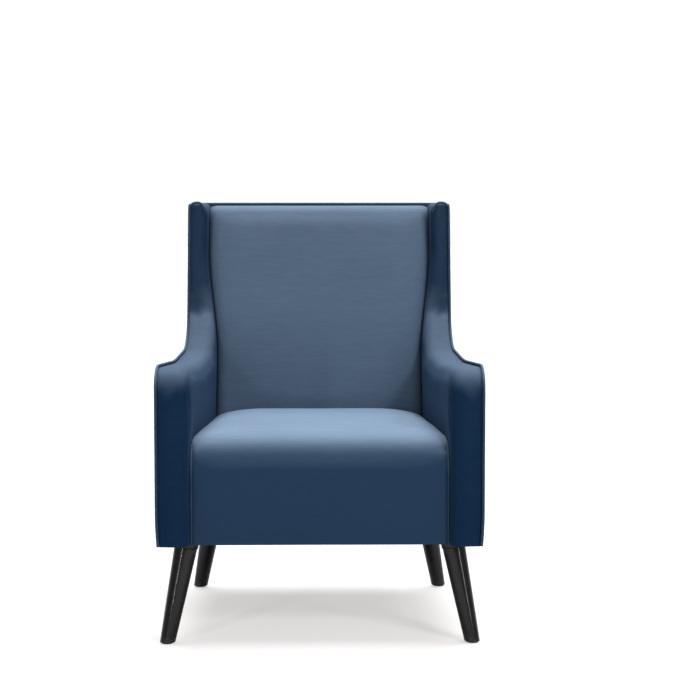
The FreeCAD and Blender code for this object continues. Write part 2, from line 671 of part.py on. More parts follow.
def make_rear():
    """Rear cover, the hardboard behind it, and the piping round three of its edges."""
    height = (WING_TOP - BODY_BOTTOM) / math.cos(math.radians(RECLINE))

    def panel(margin, low, high, radius, y, thickness):
        wire = Part.Wire(rounded_edges(rear_outline(margin, low, high, radius, y)))
        return on_rear(Part.Face(wire).extrude(Vector(0, thickness, 0)))

    margin = PANEL_MARGIN
    PARTS["rear_cover"] = panel(margin, margin, height - margin, REAR_TOP_RADIUS, GAP, COVER)
    rail_top = BACK_RAILS[-1] + BACK_RAIL_HEIGHT
    board = panel(TIMBER_T[1], FRAME_BOTTOM - BODY_BOTTOM, rail_top, BOARD_RADIUS, -COVER - BOARD, BOARD)
    arms = [PARTS[name] for name in PARTS if name.endswith(("_padding", "_arm_cover"))]
    PARTS["rear_board"] = biggest(cut_where_close(board, arms))
    y = GAP + COVER + WELT_RADIUS
    corners = rear_outline(-REAR_WELT_OVERHANG, REAR_WELT_LIFT, height - 2 * margin, REAR_WELT_RADIUS, y)
    left_foot, right_foot, right_top, left_top = corners
    PARTS["rear_welt"] = on_rear(tube([left_foot, left_top, right_top, right_foot], WELT_RADIUS))


def make_bottom_cloth():
    """The black cloth under the frame, and the staples that hold its edges."""
    front_y = RAIL_FRONT_Y
    rear_y = rear_rail_y() + RAIL_THICKNESS
    front_x, rear_x = (side_x(y - FRONT_Y, TACK_RAIL[0] / 2) for y in (front_y, rear_y))
    corners = [Vector(-front_x, front_y, PLATE_TOP), Vector(front_x, front_y, PLATE_TOP)]
    corners += [Vector(rear_x, rear_y, PLATE_TOP), Vector(-rear_x, rear_y, PLATE_TOP)]
    PARTS["bottom_cloth"] = cut_where_close(prism(corners, Vector(0, 0, CLOTH)), leg_holes())
    edges = zip(corners, corners[1:] + corners[:1])
    PARTS["staples"] = Part.Compound([crown for start, end in edges for crown in staple_row(start, end)])


def staple_row(start, end):
    """Staple crowns along one edge of the bottom cloth, clear of the legs."""
    leg_tops = [leg_ends(leg)[1] for leg in (FRONT_LEG, REAR_LEG)]
    along = (end - start).normalize()
    inwards = Vector(-along.y, along.x, 0)
    count = int((end - start).Length // STAPLE_SPACING)
    length, width, height = STAPLE
    clear = PLATE_SIZE * 0.95
    row = []
    for i in range(count):
        place = start + (end - start) * ((i + 0.5) / count) + inwards * STAPLE_MARGIN
        if any(math.hypot(abs(place.x) - top.x, place.y - top.y) < clear for top in leg_tops):
            continue
        crown = box(-length / 2, length / 2, -width / 2, width / 2, -height, 0)
        crown.rotate(Vector(0, 0, 0), Vector(0, 0, 1), math.degrees(math.atan2(along.y, along.x)))
        crown.translate(place)
        row.append(crown)
    return row


def main():
    make_legs()
    make_frame()
    make_suspension()
    make_arms()
    make_seat()
    make_back()
    make_seat_welts()
    make_rear()
    make_bottom_cloth()
    os.makedirs("parts", exist_ok=True)
    for name, shape in sorted(PARTS.items()):
        shape.exportStep("parts/" + name + ".step")
        print(name, len(shape.Solids), shape.isValid(), round(shape.Volume / 1000.0, 1))


main()
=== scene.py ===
# Looks of the upholstered armchair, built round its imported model.
# Lengths are in metres. The chair faces -Y, and right is +X.
# A side is drawn flat: depth s from its front, thickness t inwards from its outside face, height z.
# It is then turned, set on the right, and mirrored for the left.

import json
import math

import bmesh
import bpy
import numpy as np
from mathutils import Euler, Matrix, Vector, geometry, noise


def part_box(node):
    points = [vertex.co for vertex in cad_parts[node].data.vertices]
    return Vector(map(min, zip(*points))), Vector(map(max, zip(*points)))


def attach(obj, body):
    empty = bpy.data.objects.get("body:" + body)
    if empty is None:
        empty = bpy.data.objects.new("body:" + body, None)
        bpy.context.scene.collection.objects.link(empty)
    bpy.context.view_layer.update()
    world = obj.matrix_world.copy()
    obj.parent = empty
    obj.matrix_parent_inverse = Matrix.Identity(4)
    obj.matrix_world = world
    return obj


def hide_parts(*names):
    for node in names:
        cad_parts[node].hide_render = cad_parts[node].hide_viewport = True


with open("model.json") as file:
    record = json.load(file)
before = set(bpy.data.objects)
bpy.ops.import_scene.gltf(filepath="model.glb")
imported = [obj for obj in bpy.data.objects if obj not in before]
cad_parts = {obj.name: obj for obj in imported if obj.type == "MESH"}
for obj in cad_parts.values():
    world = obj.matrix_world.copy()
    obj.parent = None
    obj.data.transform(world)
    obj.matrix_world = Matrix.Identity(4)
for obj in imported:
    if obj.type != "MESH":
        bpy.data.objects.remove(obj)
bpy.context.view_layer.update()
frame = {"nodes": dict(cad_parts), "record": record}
scene = bpy.context.scene

# -------- sizes, as the maker cut them
CORD_GAP = 0.0027  # from the edge of a panel to the middle of its piping
CORD = 0.003  # radius of the piping
SEAT_CORD = 0.0025
COVER = 0.0015
BODY_BOTTOM = 0.220
WING_TOP = 0.957
REAR_BOTTOM_S, REAR_TOP_S = 0.690, 0.787
ARM_THICKNESS, WING_THICKNESS = 0.070, 0.044
WING_START, WING_KNEE = 0.585, 0.845  # heights between which a side gets thinner
SIDE_ANGLE = math.radians(3.15)
SIDE_OUTLINE = [
    (0.0, BODY_BOTTOM, 0.005),
    (REAR_BOTTOM_S, BODY_BOTTOM, 0.005),
    (REAR_TOP_S, WING_TOP, 0.012),
    (0.642, WING_TOP, 0.006),
    (0.598, 0.608, -0.100),
    (0.330, 0.5935, -0.900),
    (0.0, 0.611, 0.046),
]
BACK_FACE_SLOPE = 0.2316
BACK_ROLL = 0.034
SEAT_ROLL = 0.062
CUSHION_PLAY = 0.0004  # between a cushion and the arms
SEAT_DECK = 0.352  # underside of the seat's foam
APRON_BOTTOM = 0.2202
REAR_SLOPE = (REAR_TOP_S - REAR_BOTTOM_S) / (WING_TOP - BODY_BOTTOM)
RECLINE = math.atan(REAR_SLOPE)

HALF_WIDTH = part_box("right_side_cover")[1].x
FRONT_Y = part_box("right_arm_cover")[0].y
SEAT_FRONT_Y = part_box("seat_cover")[0].y
SEAT_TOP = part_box("seat_cover")[1].z
BACK_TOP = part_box("back_cover")[1].z
BACK_FACE_S = 0.575  # depth of the back's face where it meets the seat
BACK_FACE_Y = FRONT_Y + BACK_FACE_S

NET = 0.009  # side of the even triangles that fill a face


# -------- camera, light and floor
LENS, SENSOR = 101.9, 36.0  # millimetres
CAMERA_SIDE, CAMERA_AWAY, CAMERA_HEIGHT = -0.0082, 4.2408, 0.994
CAMERA_DOWN, CAMERA_TURN = 4.657, -0.987  # degrees
BACKDROP, AMBIENT = 1.03, 0.24  # strength of the world as it is seen, and as it lights the chair
SUN_POWER, SUN_SPREAD, SUN_TILT = 3.2, 46, (-12, 2)
SOFTBOXES = [  # name, place, aim, width, height, watts
    ("key", (2.1, -3.7, 2.7), (0, 0, 0.55), 0.8, 0.8, 66),
    ("left_strip", (-1.5, -2.6, 0.8), (0, -0.1, 0.2), 0.06, 1.3, 13),
    ("right_strip", (1.9, -2.2, 0.8), (0, -0.1, 0.2), 0.06, 1.3, 10),
]
FLOOR_SIZE, FLOOR_GLOW = 60, 0.53


def placed(name, data):
    """A new object in the scene, made of this data."""
    thing = bpy.data.objects.new(name, data)
    scene.collection.objects.link(thing)
    return thing


def make_camera():
    data = bpy.data.cameras.new("camera")
    data.lens, data.sensor_width = LENS, SENSOR
    camera = placed("camera", data)
    camera.location = (CAMERA_SIDE, FRONT_Y - CAMERA_AWAY, CAMERA_HEIGHT)
    camera.rotation_euler = Euler((math.radians(90 - CAMERA_DOWN), 0, math.radians(CAMERA_TURN)))
    scene.camera = camera


def make_backdrop():
    """A white world that looks brighter than the light it gives."""
    world = bpy.data.worlds.new("studio")
    world.use_nodes = True
    bench = Bench(world.node_tree)
    seen, fill = (bench.add("ShaderNodeBackground", Color=(1, 1, 1, 1), Strength=strength)
                  for strength in (BACKDROP, AMBIENT))
    direct = bench.add("ShaderNodeLightPath").outputs["Is Camera Ray"]
    mixed = bench.add("ShaderNodeMixShader", Fac=direct)
    for socket, backdrop in zip(mixed.inputs[1:], (fill, seen)):
        bench.put(backdrop.outputs["Background"], socket)
    bench.put(mixed.outputs["Shader"], world.node_tree.nodes["World Output"].inputs["Surface"])
    scene.world = world


def make_studio():
    make_backdrop()
    scene.view_settings.view_transform = "Standard"
    sun = bpy.data.lights.new("overhead", "SUN")
    sun.energy, sun.angle = SUN_POWER, math.radians(SUN_SPREAD)
    placed("overhead", sun).rotation_euler = (*map(math.radians, SUN_TILT), 0)
    for name, place, aim, width, height, watts in SOFTBOXES:
        box = bpy.data.lights.new(name, "AREA")
        box.shape, box.size, box.size_y, box.energy = "RECTANGLE", width, height, watts
        light = placed(name, box)
        light.location = place
        light.rotation_euler = (Vector(aim) - Vector(place)).to_track_quat("-Z", "Y").to_euler()
    bpy.ops.mesh.primitive_grid_add(x_subdivisions=8, y_subdivisions=8, size=FLOOR_SIZE)
    floor = bpy.context.object
    floor.name = "floor"
    floor.data.materials.append(floor_finish())


# -------- node helpers
def new_socket(tree, label, kind, way="INPUT"):
    return tree.interface.new_socket(label, in_out=way, socket_type=f"NodeSocket{kind}")


def new_group(name, inputs, outputs):
    """A shader node group with named inputs and outputs: (tree, its input node, its output node)."""
    tree = bpy.data.node_groups.new(name, "ShaderNodeTree")
    kinds = {float: "Float", tuple: "Color", str: "Vector"}
    for label, value in inputs:
        socket = new_socket(tree, label, kinds[type(value)])
        if not isinstance(value, str):
            socket.default_value = value
    for label, kind in outputs.items():
        new_socket(tree, label, kind, "OUTPUT")
    return tree, tree.nodes.new("NodeGroupInput"), tree.nodes.new("NodeGroupOutput")


class Bench:
    """Short ways to add and join nodes in one tree."""

    def __init__(self, tree):
        self.tree = tree

    def add(self, kind, settings=(), **values):
        node = self.tree.nodes.new(kind)
        for key, value in dict(settings).items():
            setattr(node, key, value)
        for key, value in values.items():
            self.put(value, node.inputs[key.replace("_", " ")])
        return node

    def put(self, value, socket):
        if isinstance(value, bpy.types.NodeSocket):
            self.tree.links.new(value, socket)
        else:
            socket.default_value = value

    def feed(self, node, values):
        """Puts values into a node's inputs, in their order."""
        for socket, value in zip(node.inputs, values):
            self.put(value, socket)
        return node.outputs[0]

    def math(self, operation, a, b=0.0, clamp=False):
        return self.feed(self.add("ShaderNodeMath", {"operation": operation, "use_clamp": clamp}), (a, b))

    def plus(self, a, b, clamp=False):
        return self.math("ADD", a, b, clamp)

    def times(self, a, b):
        return self.math("MULTIPLY", a, b)

    def blend(self, share, a, b):
        node = self.add("ShaderNodeMix", {"data_type": "RGBA"})
        for index, value in ((0, share), (6, a), (7, b)):
            self.put(value, node.inputs[index])
        return node.outputs[2]

    def range(self, value, low, high, to_low=0.0, to_high=1.0, way="LINEAR"):
        node = self.add("ShaderNodeMapRange", {"clamp": True, "interpolation_type": way})
        return self.feed(node, (value, low, high, to_low, to_high))

    def noise(self, where, scale, detail=2.0, roughness=0.5):
        node = self.add("ShaderNodeTexNoise", Vector=where, Scale=scale, Detail=detail, Roughness=roughness)
        return node.outputs["Fac"]

    def swing(self, value, amount):
        """A value from 0 to 1, made to swing evenly about zero."""
        return self.times(self.math("SUBTRACT", value, 0.5), amount)

    def stretched(self, where, scale):
        return self.add("ShaderNodeMapping", Vector=where, Scale=scale).outputs["Vector"]

    def height(self, vector):
        return self.add("ShaderNodeSeparateXYZ", Vector=vector).outputs["Z"]

    def facing_up(self):
        """How far the surface faces up, from -1 to 1."""
        return self.height(self.add("ShaderNodeNewGeometry").outputs["Normal"])

    def place(self, tree, **values):
        return self.add("ShaderNodeGroup", {"node_tree": tree}, **values)


class Finish(Bench):
    """A material with a plain Principled shader, and the bench to build it on."""

    def __init__(self, name):
        self.material = bpy.data.materials.new(name)
        self.material.use_nodes = True
        super().__init__(self.material.node_tree)
        self.shader = self.tree.nodes["Principled BSDF"]
        self.where = self.add("ShaderNodeTexCoord").outputs["Object"]

    def set_even(self, **values):
        """Sets the values that are the same all over a piece."""
        for label, value in values.items():
            self.shader.inputs[label.replace("_", " ")].default_value = value
        return self.material

    def dress(self, colour, roughness, height, strength, depth, **values):
        """Feeds the colour, the roughness and the bump, and sets the even values."""
        bump = self.add("ShaderNodeBump", Height=height, Strength=strength, Distance=depth).outputs["Normal"]
        for label, value in (("Base Color", colour), ("Roughness", roughness), ("Normal", bump)):
            self.put(value, self.shader.inputs[label])
        return self.set_even(**values)


# -------- shared effects
STROKE_STRETCH = (9.0, 60.0, 90.0)  # brush strokes and rows of weft both run across the chair
ROW_STRETCH = (30.0, 520.0, 520.0)
TUFTS = 900.0


def make_nap():
    """Pile of a woven velvet: brushed patches and rows of weft, with painted light that makes faces turned
    upwards paler.
    """
    tree, given, out = new_group(
        "velvet_nap",
        [("Where", "v"), ("Patch Size", 7.0), ("Row Strength", 0.5), ("Deep", (0.01, 0.03, 0.06, 1.0)),
         ("Brushed", (0.1, 0.15, 0.25, 1.0)), ("Upright", 0.0), ("Flat", 1.0), ("Turn", 2.0),
         ("SweepHighlight", 0.0)],
        {"Color": "Color", "Roughness": "Float", "Height": "Float"},
    )
    b, given = Bench(tree), given.outputs
    where = given["Where"]
    patches = b.noise(where, given["Patch Size"], 3.0, 0.55)
    strokes = b.noise(b.stretched(where, STROKE_STRETCH), 1.0, 4.0, 0.6)
    rows = b.noise(b.stretched(where, ROW_STRETCH), 1.0, 2.0, 0.6)
    tufts = b.noise(where, TUFTS, 1.0, 0.5)
    # Painted light: faces that turn upwards are painted paler, towards the pale brushed blue, and the arm's
    # sweep gets a painted highlight.
    turned = b.math("POWER", b.math("MAXIMUM", b.facing_up(), 0.0), given["Turn"])
    more = b.times(turned, b.math("SUBTRACT", given["Flat"], given["Upright"]))
    painted_light = b.plus(b.plus(given["Upright"], more), given["SweepHighlight"])
    mottled = b.plus(b.swing(patches, 0.16), b.swing(strokes, 0.14))
    lined = b.swing(rows, given["Row Strength"])
    uneven = b.times(b.plus(mottled, lined), b.plus(painted_light, 0.12))
    share = b.plus(uneven, painted_light, clamp=True)
    height = b.plus(b.times(rows, 0.6), b.times(tufts, 0.4))
    b.put(b.blend(share, given["Deep"], given["Brushed"]), out.inputs["Color"])
    b.put(b.range(mottled, -0.2, 0.2, 0.75, 0.95), out.inputs["Roughness"])
    b.put(height, out.inputs["Height"])
    return tree


def make_grain():
    """Long grain of timber, as a mask and a height."""
    tree, given, out = new_group(
        "timber_grain", [("Where", "v"), ("Ring Scale", 40.0), ("Pore Scale", 900.0)],
        {"Mask": "Float", "Height": "Float"},
    )
    b, given = Bench(tree), given.outputs
    warp = b.noise(given["Where"], 9.0, 3.0)
    rings = b.add("ShaderNodeTexWave", {"wave_type": "BANDS", "bands_direction": "DIAGONAL"},
                  Vector=given["Where"], Scale=given["Ring Scale"], Distortion=6.0, Detail=3.0).outputs["Fac"]
    pores = b.noise(given["Where"], given["Pore Scale"], 2.0, 0.7)
    fine = b.plus(b.times(warp, 0.3), b.times(pores, 0.25))
    mask = b.plus(b.times(rings, 0.45), fine, clamp=True)
    b.put(mask, out.inputs["Mask"])
    b.put(pores, out.inputs["Height"])
    return tree


def make_wear():
    """Where edges wear and dust settles, as two masks."""
    tree, given, out = new_group(
        "wear_and_dust", [("Where", "v"), ("Edge", 0.55), ("Dust Height", 0.03)],
        {"Wear": "Float", "Dust": "Float"},
    )
    b = Bench(tree)
    geometry = b.add("ShaderNodeNewGeometry")
    ragged = b.noise(given.outputs["Where"], 130.0, 4.0, 0.65)
    edge = b.range(geometry.outputs["Pointiness"], given.outputs["Edge"], 0.7)
    b.put(b.times(edge, b.range(ragged, 0.4, 0.65)), out.inputs["Wear"])
    low = b.range(b.height(given.outputs["Where"]), given.outputs["Dust Height"], 0.0)
    b.put(b.times(low, b.range(ragged, 0.35, 0.7)), out.inputs["Dust"])
    return tree


NAP, GRAIN, WEAR = make_nap(), make_grain(), make_wear()


# -------- finishes
# One blue velvet all over. The arm and outside covers get a darker deep colour as painted shade.
SEAT_DEEP = (0.0148, 0.0385, 0.0790, 1.0)
ARM_SHADED_DEEP = (0.0030, 0.0180, 0.0480, 1.0)
# Pale blue of the random brushed patches, and of the painted light on faces that turn upwards.
BRUSHED_AND_LIT_BLUE = (0.235, 0.325, 0.445, 1.0)
SHEEN_BLUE = (0.35, 0.60, 1.00, 1.0)
SWEEP_HEIGHT, SWEEP_REACH = 0.688, 0.078  # where a painted highlight lies on the sweep of an arm
WORN_LACQUER, DUST, WORN_TIMBER = (0.05, 0.035, 0.025, 1), (0.16, 0.15, 0.14, 1), (0.75, 0.6, 0.42, 1)


def velvet(name, deep, upright, flat, turn, patch=7.0, rows=0.35, sweep_highlight=0.0):
    """Velvet with painted light: dark on upright faces, paler on faces that turn upwards, and, where asked, a
    painted highlight on each arm's sweep.
    """
    b = Finish(name)
    nap = b.place(NAP, Where=b.where, Patch_Size=patch, Row_Strength=rows, Upright=upright, Flat=flat,
                  Turn=turn, Deep=deep, Brushed=BRUSHED_AND_LIT_BLUE)
    if sweep_highlight:
        # Painted highlight on the upturned faces of each arm's sweep, strongest at its middle height.
        away = b.math("ABSOLUTE", b.math("SUBTRACT", b.height(b.where), SWEEP_HEIGHT))
        near = b.range(b.math("DIVIDE", away, SWEEP_REACH), 1.0, 0.0)
        upper = b.range(b.facing_up(), 0.06, 0.28, way="SMOOTHSTEP")
        b.put(b.times(b.times(upper, near), sweep_highlight), nap.inputs["SweepHighlight"])
    return b.dress(nap.outputs["Color"], nap.outputs["Roughness"], nap.outputs["Height"], 0.35, 0.0006,
          Sheen_Weight=0.10, Sheen_Roughness=0.45, Sheen_Tint=SHEEN_BLUE, Specular_IOR_Level=0.08)


def lacquer():
    b = Finish("black_lacquer")
    long_grain = b.stretched(b.where, (1.0, 1.0, 0.06))
    grain = b.place(GRAIN, Where=long_grain, Ring_Scale=60.0, Pore_Scale=700.0)
    wear = b.place(WEAR, Where=b.where, Edge=0.56, Dust_Height=0.02)
    base = b.blend(grain.outputs["Mask"], (0.0025, 0.0025, 0.003, 1), (0.0065, 0.006, 0.006, 1))
    worn = b.blend(wear.outputs["Wear"], base, WORN_LACQUER)
    dusty = b.blend(b.times(wear.outputs["Dust"], 0.35), worn, DUST)
    rough = b.range(grain.outputs["Mask"], 0.2, 0.8, 0.24, 0.34)
    return b.dress(dusty, rough, grain.outputs["Height"], 0.08, 0.0003,
          Specular_IOR_Level=0.15, Coat_Weight=0.50, Coat_Roughness=0.07)


def timber(name, pale, dark, stretch, rings):
    b = Finish(name)
    grain = b.place(GRAIN, Where=b.stretched(b.where, stretch), Ring_Scale=rings, Pore_Scale=600.0)
    wear = b.place(WEAR, Where=b.where, Edge=0.55, Dust_Height=0.02)
    base = b.blend(grain.outputs["Mask"], pale, dark)
    worn = b.blend(b.times(wear.outputs["Wear"], 0.4), base, WORN_TIMBER)
    rough = b.range(grain.outputs["Mask"], 0.0, 1.0, 0.55, 0.75)
    return b.dress(worn, rough, grain.outputs["Height"], 0.2, 0.0004)


def speckled(name, dark, pale, scale, rough, depth):
    """Felt, foam, fibreboard, cloth and moulded plastic: a fine speckle with a matching bump."""
    b = Finish(name)
    fine, broad = b.noise(b.where, scale, 3.0, 0.7), b.noise(b.where, scale / 14, 2.0)
    mixed = b.plus(b.times(fine, 0.7), b.times(broad, 0.3))
    return b.dress(b.blend(b.range(mixed, 0.35, 0.65), dark, pale),
          b.range(fine, 0.3, 0.7, rough - 0.08, rough + 0.05), fine, 0.5, depth)


def woven(name, dark, pale, pitch):
    """Flat webbing: threads that cross."""
    b = Finish(name)
    warp, weft = (b.add("ShaderNodeTexWave", {"bands_direction": way}, Vector=b.where, Scale=pitch)
                  for way in "XZ")
    cross = b.times(warp.outputs["Fac"], weft.outputs["Fac"])
    return b.dress(b.blend(cross, dark, pale), b.range(cross, 0.0, 1.0, 0.9, 0.7), cross, 0.6, 0.0006)


def steel(name, tone, rough):
    b = Finish(name)
    stain, fine = b.noise(b.where, 45.0, 3.0), b.noise(b.where, 700.0, 2.0)
    dull = tuple(0.6 * c for c in tone[:3]) + (1,)
    return b.dress(b.blend(b.range(stain, 0.45, 0.75), tone, dull),
          b.range(stain, 0.3, 0.7, rough, rough + 0.15), fine, 0.1, 0.0002, Metallic=1.0)


def floor_finish():
    b = Finish("studio_floor")
    cloudy = b.noise(b.where, 0.8, 2.0)
    b.put(b.blend(cloudy, (0.62, 0.615, 0.61, 1), (0.64, 0.635, 0.63, 1)), b.shader.inputs["Base Color"])
    direct = b.add("ShaderNodeLightPath").outputs["Is Camera Ray"]
    b.put(b.times(direct, FLOOR_GLOW), b.shader.inputs["Emission Strength"])
    return b.set_even(Roughness=0.9, Specular_IOR_Level=0.1, Emission_Color=(1.0, 0.97, 0.965, 1))


FINISHES = {
    # Copies of one blue velvet, differing mostly by painted light and shade: the arm and outside covers
    # painted darker, the back painted paler on its upright faces.
    "velvet": velvet("arm_velvet", ARM_SHADED_DEEP, 0.0, 0.42, 1.0, sweep_highlight=0.46),
    "panel": velvet("outside_velvet", ARM_SHADED_DEEP, 0.0, 0.47, 0.95),
    "seat": velvet("seat_velvet", SEAT_DEEP, 0.0, 0.94, 2.5),
    "back": velvet("back_velvet", SEAT_DEEP, 0.33, 0.85, 1.8),
    "piping": velvet("piping_velvet", SEAT_DEEP, 0.03, 0.55, 1.0, patch=30.0, rows=0.45),
    "leg_lacquer": lacquer(),
    "beech": timber("beech", (0.62, 0.44, 0.27, 1), (0.45, 0.28, 0.15, 1), (1.0, 0.08, 0.3), 30.0),
    "plywood": timber("birch_plywood", (0.66, 0.52, 0.34, 1), (0.40, 0.26, 0.14, 1), (6.0, 0.1, 0.1), 26.0),
    "hardboard": speckled("hardboard", (0.14, 0.08, 0.045, 1), (0.27, 0.17, 0.10, 1), 900.0, 0.7, 0.0003),
    "foam": speckled("cushion_foam", (0.70, 0.64, 0.46, 1), (0.84, 0.79, 0.62, 1), 1400.0, 0.9, 0.0006),
    "felt": speckled("spring_felt", (0.16, 0.15, 0.14, 1), (0.42, 0.40, 0.38, 1), 800.0, 0.95, 0.0008),
    "black_cloth": speckled(
        "dust_cloth", (0.010, 0.010, 0.011, 1), (0.035, 0.035, 0.037, 1), 1200.0, 0.9, 0.0004),
    "glide_plastic": speckled(
        "glide_plastic", (0.02, 0.02, 0.02, 1), (0.035, 0.035, 0.035, 1), 500.0, 0.45, 0.0001),
    "webbing": woven("back_webbing", (0.10, 0.06, 0.03, 1), (0.42, 0.30, 0.16, 1), 260.0),
    "spring_steel": steel("spring_steel", (0.32, 0.33, 0.35, 1), 0.38),
    "plated_steel": steel("plated_steel", (0.62, 0.62, 0.60, 1), 0.28),
}
THREAD = speckled("sewing_thread", (0.010, 0.016, 0.028, 1), (0.035, 0.05, 0.08, 1), 2500.0, 0.8, 0.0002)


# -------- outlines
NO_LENGTH, NO_TURN = 1e-9, 1e-4  # below these a corner has no arc


def inset(points, distance):
    """A rounded polygon moved inwards by distance, or outwards where it is below zero."""
    moved = []
    for i, (s, z, radius) in enumerate(points):
        before, after = points[i - 1], points[(i + 1) % len(points)]
        a = Vector((s - before[0], z - before[1])).normalized()
        b = Vector((after[0] - s, after[1] - z)).normalized()
        normal = Vector((-a.y - b.y, a.x + b.x)).normalized()
        reach = distance / (normal.y * a.x - normal.x * a.y)
        new_radius = max(radius - distance, 0.0005) if radius > 0 else radius - distance
        moved.append((s + normal.x * reach, z + normal.y * reach, new_radius))
    return moved


def corner_arc(before, here, after, radius, steps):
    """Points of the arc that rounds a corner, from tangent to tangent."""
    to_before, to_after = (before - here).normalized(), (after - here).normalized()
    half = to_before.angle(to_after) / 2
    run = abs(radius) / math.tan(half)
    bisector = (to_before + to_after).normalized()
    centre = here + bisector * (abs(radius) / math.sin(half))
    start, end = here + to_before * run - centre, here + to_after * run - centre
    sweep = start.angle(end) if start.length > NO_LENGTH else 0.0
    if sweep < NO_TURN:
        return [here.copy() for _ in range(steps + 1)]
    found = []
    for k in range(steps + 1):
        share = k / steps
        swung = start * math.sin((1 - share) * sweep) + end * math.sin(share * sweep)
        found.append(centre + swung / math.sin(sweep))
    return found


def ring(points, distance=0.0, step=0.010, arc_steps=8):
    """The rounded outline moved inwards, as points that match from one distance to the next."""
    def arcs(corners):
        at = [Vector((s, z, 0)) for s, z, _ in corners]
        count = len(at)
        return [corner_arc(at[i - 1], at[i], at[(i + 1) % count], corners[i][2], arc_steps)
                for i in range(count)]

    base, moved = arcs(points), arcs(inset(points, distance))
    line = []
    for i, arc in enumerate(moved):
        follow, n = moved[(i + 1) % len(moved)][0], len(points)
        runs = max(1, round((base[(i + 1) % n][0] - base[i][-1]).length / step))
        line += arc + [arc[-1].lerp(follow, k / runs) for k in range(1, runs)]
    return np.array([(p.x, p.y) for p in line])


def path(points, arc_steps=10, step=0.008):
    """An open line through 3-D corners, each with a radius, as closely spaced points."""
    at = [Vector(p) for p, _ in points]
    arcs = [[at[0]]]
    for i in range(1, len(at) - 1):
        arcs.append(corner_arc(at[i - 1], at[i], at[i + 1], points[i][1], arc_steps))
    arcs.append([at[-1]])
    line = []
    for arc, follow in zip(arcs, arcs[1:] + [None]):
        line += arc
        if follow:
            runs = max(1, round((follow[0] - arc[-1]).length / step))
            line += [arc[-1].lerp(follow[0], k / runs) for k in range(1, runs)]
    return np.array([tuple(p) for p in line])


# -------- places
TUCK = 0.0036  # how far a side's outside draws in at its lower edge
TUCK_HEIGHT, TUCK_REACH, TUCK_DEPTH = 0.300, 0.080, 0.045


def ramp(value, start, end):
    """Smooth step from 0 at start to 1 at end."""
    share = np.clip((value - start) / (end - start), 0, 1)
    return share * share * (3 - 2 * share)


def rear_s(z):
    return REAR_BOTTOM_S + (z - BODY_BOTTOM) * REAR_SLOPE


def thickness_at(z):
    """Thickness of a side, which gets thinner up its wing."""
    return ARM_THICKNESS - (ARM_THICKNESS - WING_THICKNESS) * ramp(np.asarray(z), WING_START, WING_KNEE)


def tucked(t, z):
    """The outside of a side draws in a little towards its lower edge."""
    low = np.clip((TUCK_HEIGHT - z) / TUCK_REACH, 0, 1) ** 2
    return t + TUCK * low * np.clip(1 - t / TUCK_DEPTH, 0, 1)


def side_to_world(points):
    """Flat side points (s, t, z), set in their place on the right."""
    s, t, z = np.asarray(points).T
    t = tucked(t, z)
    x = HALF_WIDTH - t * math.cos(SIDE_ANGLE) - s * math.sin(SIDE_ANGLE)
    y = FRONT_Y - t * math.sin(SIDE_ANGLE) + s * math.cos(SIDE_ANGLE)
    return np.stack([x, y, z], axis=1)


def inside_x(y, z, play):
    """Half the width between the two sides' inner faces."""
    t = thickness_at(z) + play
    s = y - FRONT_Y + t * math.sin(SIDE_ANGLE)
    return HALF_WIDTH - t * math.cos(SIDE_ANGLE) - s * math.tan(SIDE_ANGLE)


def rear_to_world(points):
    """Points (x, y out of the rear face, w up it), set in their place."""
    x, y, w = np.asarray(points).T
    return np.stack([x, FRONT_Y + REAR_BOTTOM_S + y * math.cos(RECLINE) + w * math.sin(RECLINE),
                     BODY_BOTTOM - y * math.sin(RECLINE) + w * math.cos(RECLINE)], axis=1)


# -------- meshes
def read_rows(rows, label):
    flat = np.zeros(len(rows) * 3, np.float32)
    rows.foreach_get(label, flat)
    return flat.reshape(-1, 3).astype(float)


def get_points(mesh):
    return read_rows(mesh.vertices, "co")


def get_normals(mesh):
    return read_rows(mesh.vertex_normals, "vector")


def set_points(mesh, points):
    mesh.vertices.foreach_set("co", np.asarray(points, np.float32).ravel())
    mesh.update()


def new_piece(name, points, faces, finish):
    mesh = bpy.data.meshes.new(name)
    mesh.from_pydata([tuple(p) for p in points], [], [list(f) for f in faces])
    mesh.materials.append(finish)
    mesh.shade_smooth()
    return placed(name, mesh)


def rings_of(outline, levels, step=0.010):
    """Rings of points round an outline. A level says how far inwards a ring is, and how far across."""
    rings = []
    for distance, across in levels:
        line = ring(outline, distance, step)
        rings.append(np.column_stack([line[:, 0], np.full(len(line), across), line[:, 1]]))
    return rings


def stack_of_rings(rings):
    """Closed shell through matching rings of points: its points, and faces that close both ends."""
    count = len(rings[0])
    faces = [list(range(count))[::-1]]
    for level in range(len(rings) - 1):
        low, high = level * count, (level + 1) * count
        faces += [(low + i, low + (i + 1) % count, high + (i + 1) % count, high + i) for i in range(count)]
    faces.append(list(range((len(rings) - 1) * count, len(rings) * count)))
    return np.concatenate(rings), faces


def inside(points, line):
    """Which of the flat points lie inside a closed line."""
    x, y = points.T
    found = np.zeros(len(points), bool)
    for (x0, y0), (x1, y1) in zip(line, np.roll(line, -1, axis=0)):
        if y0 != y1:
            found ^= ((y0 > y) != (y1 > y)) & (x < (x1 - x0) * (y - y0) / (y1 - y0) + x0)
    return found


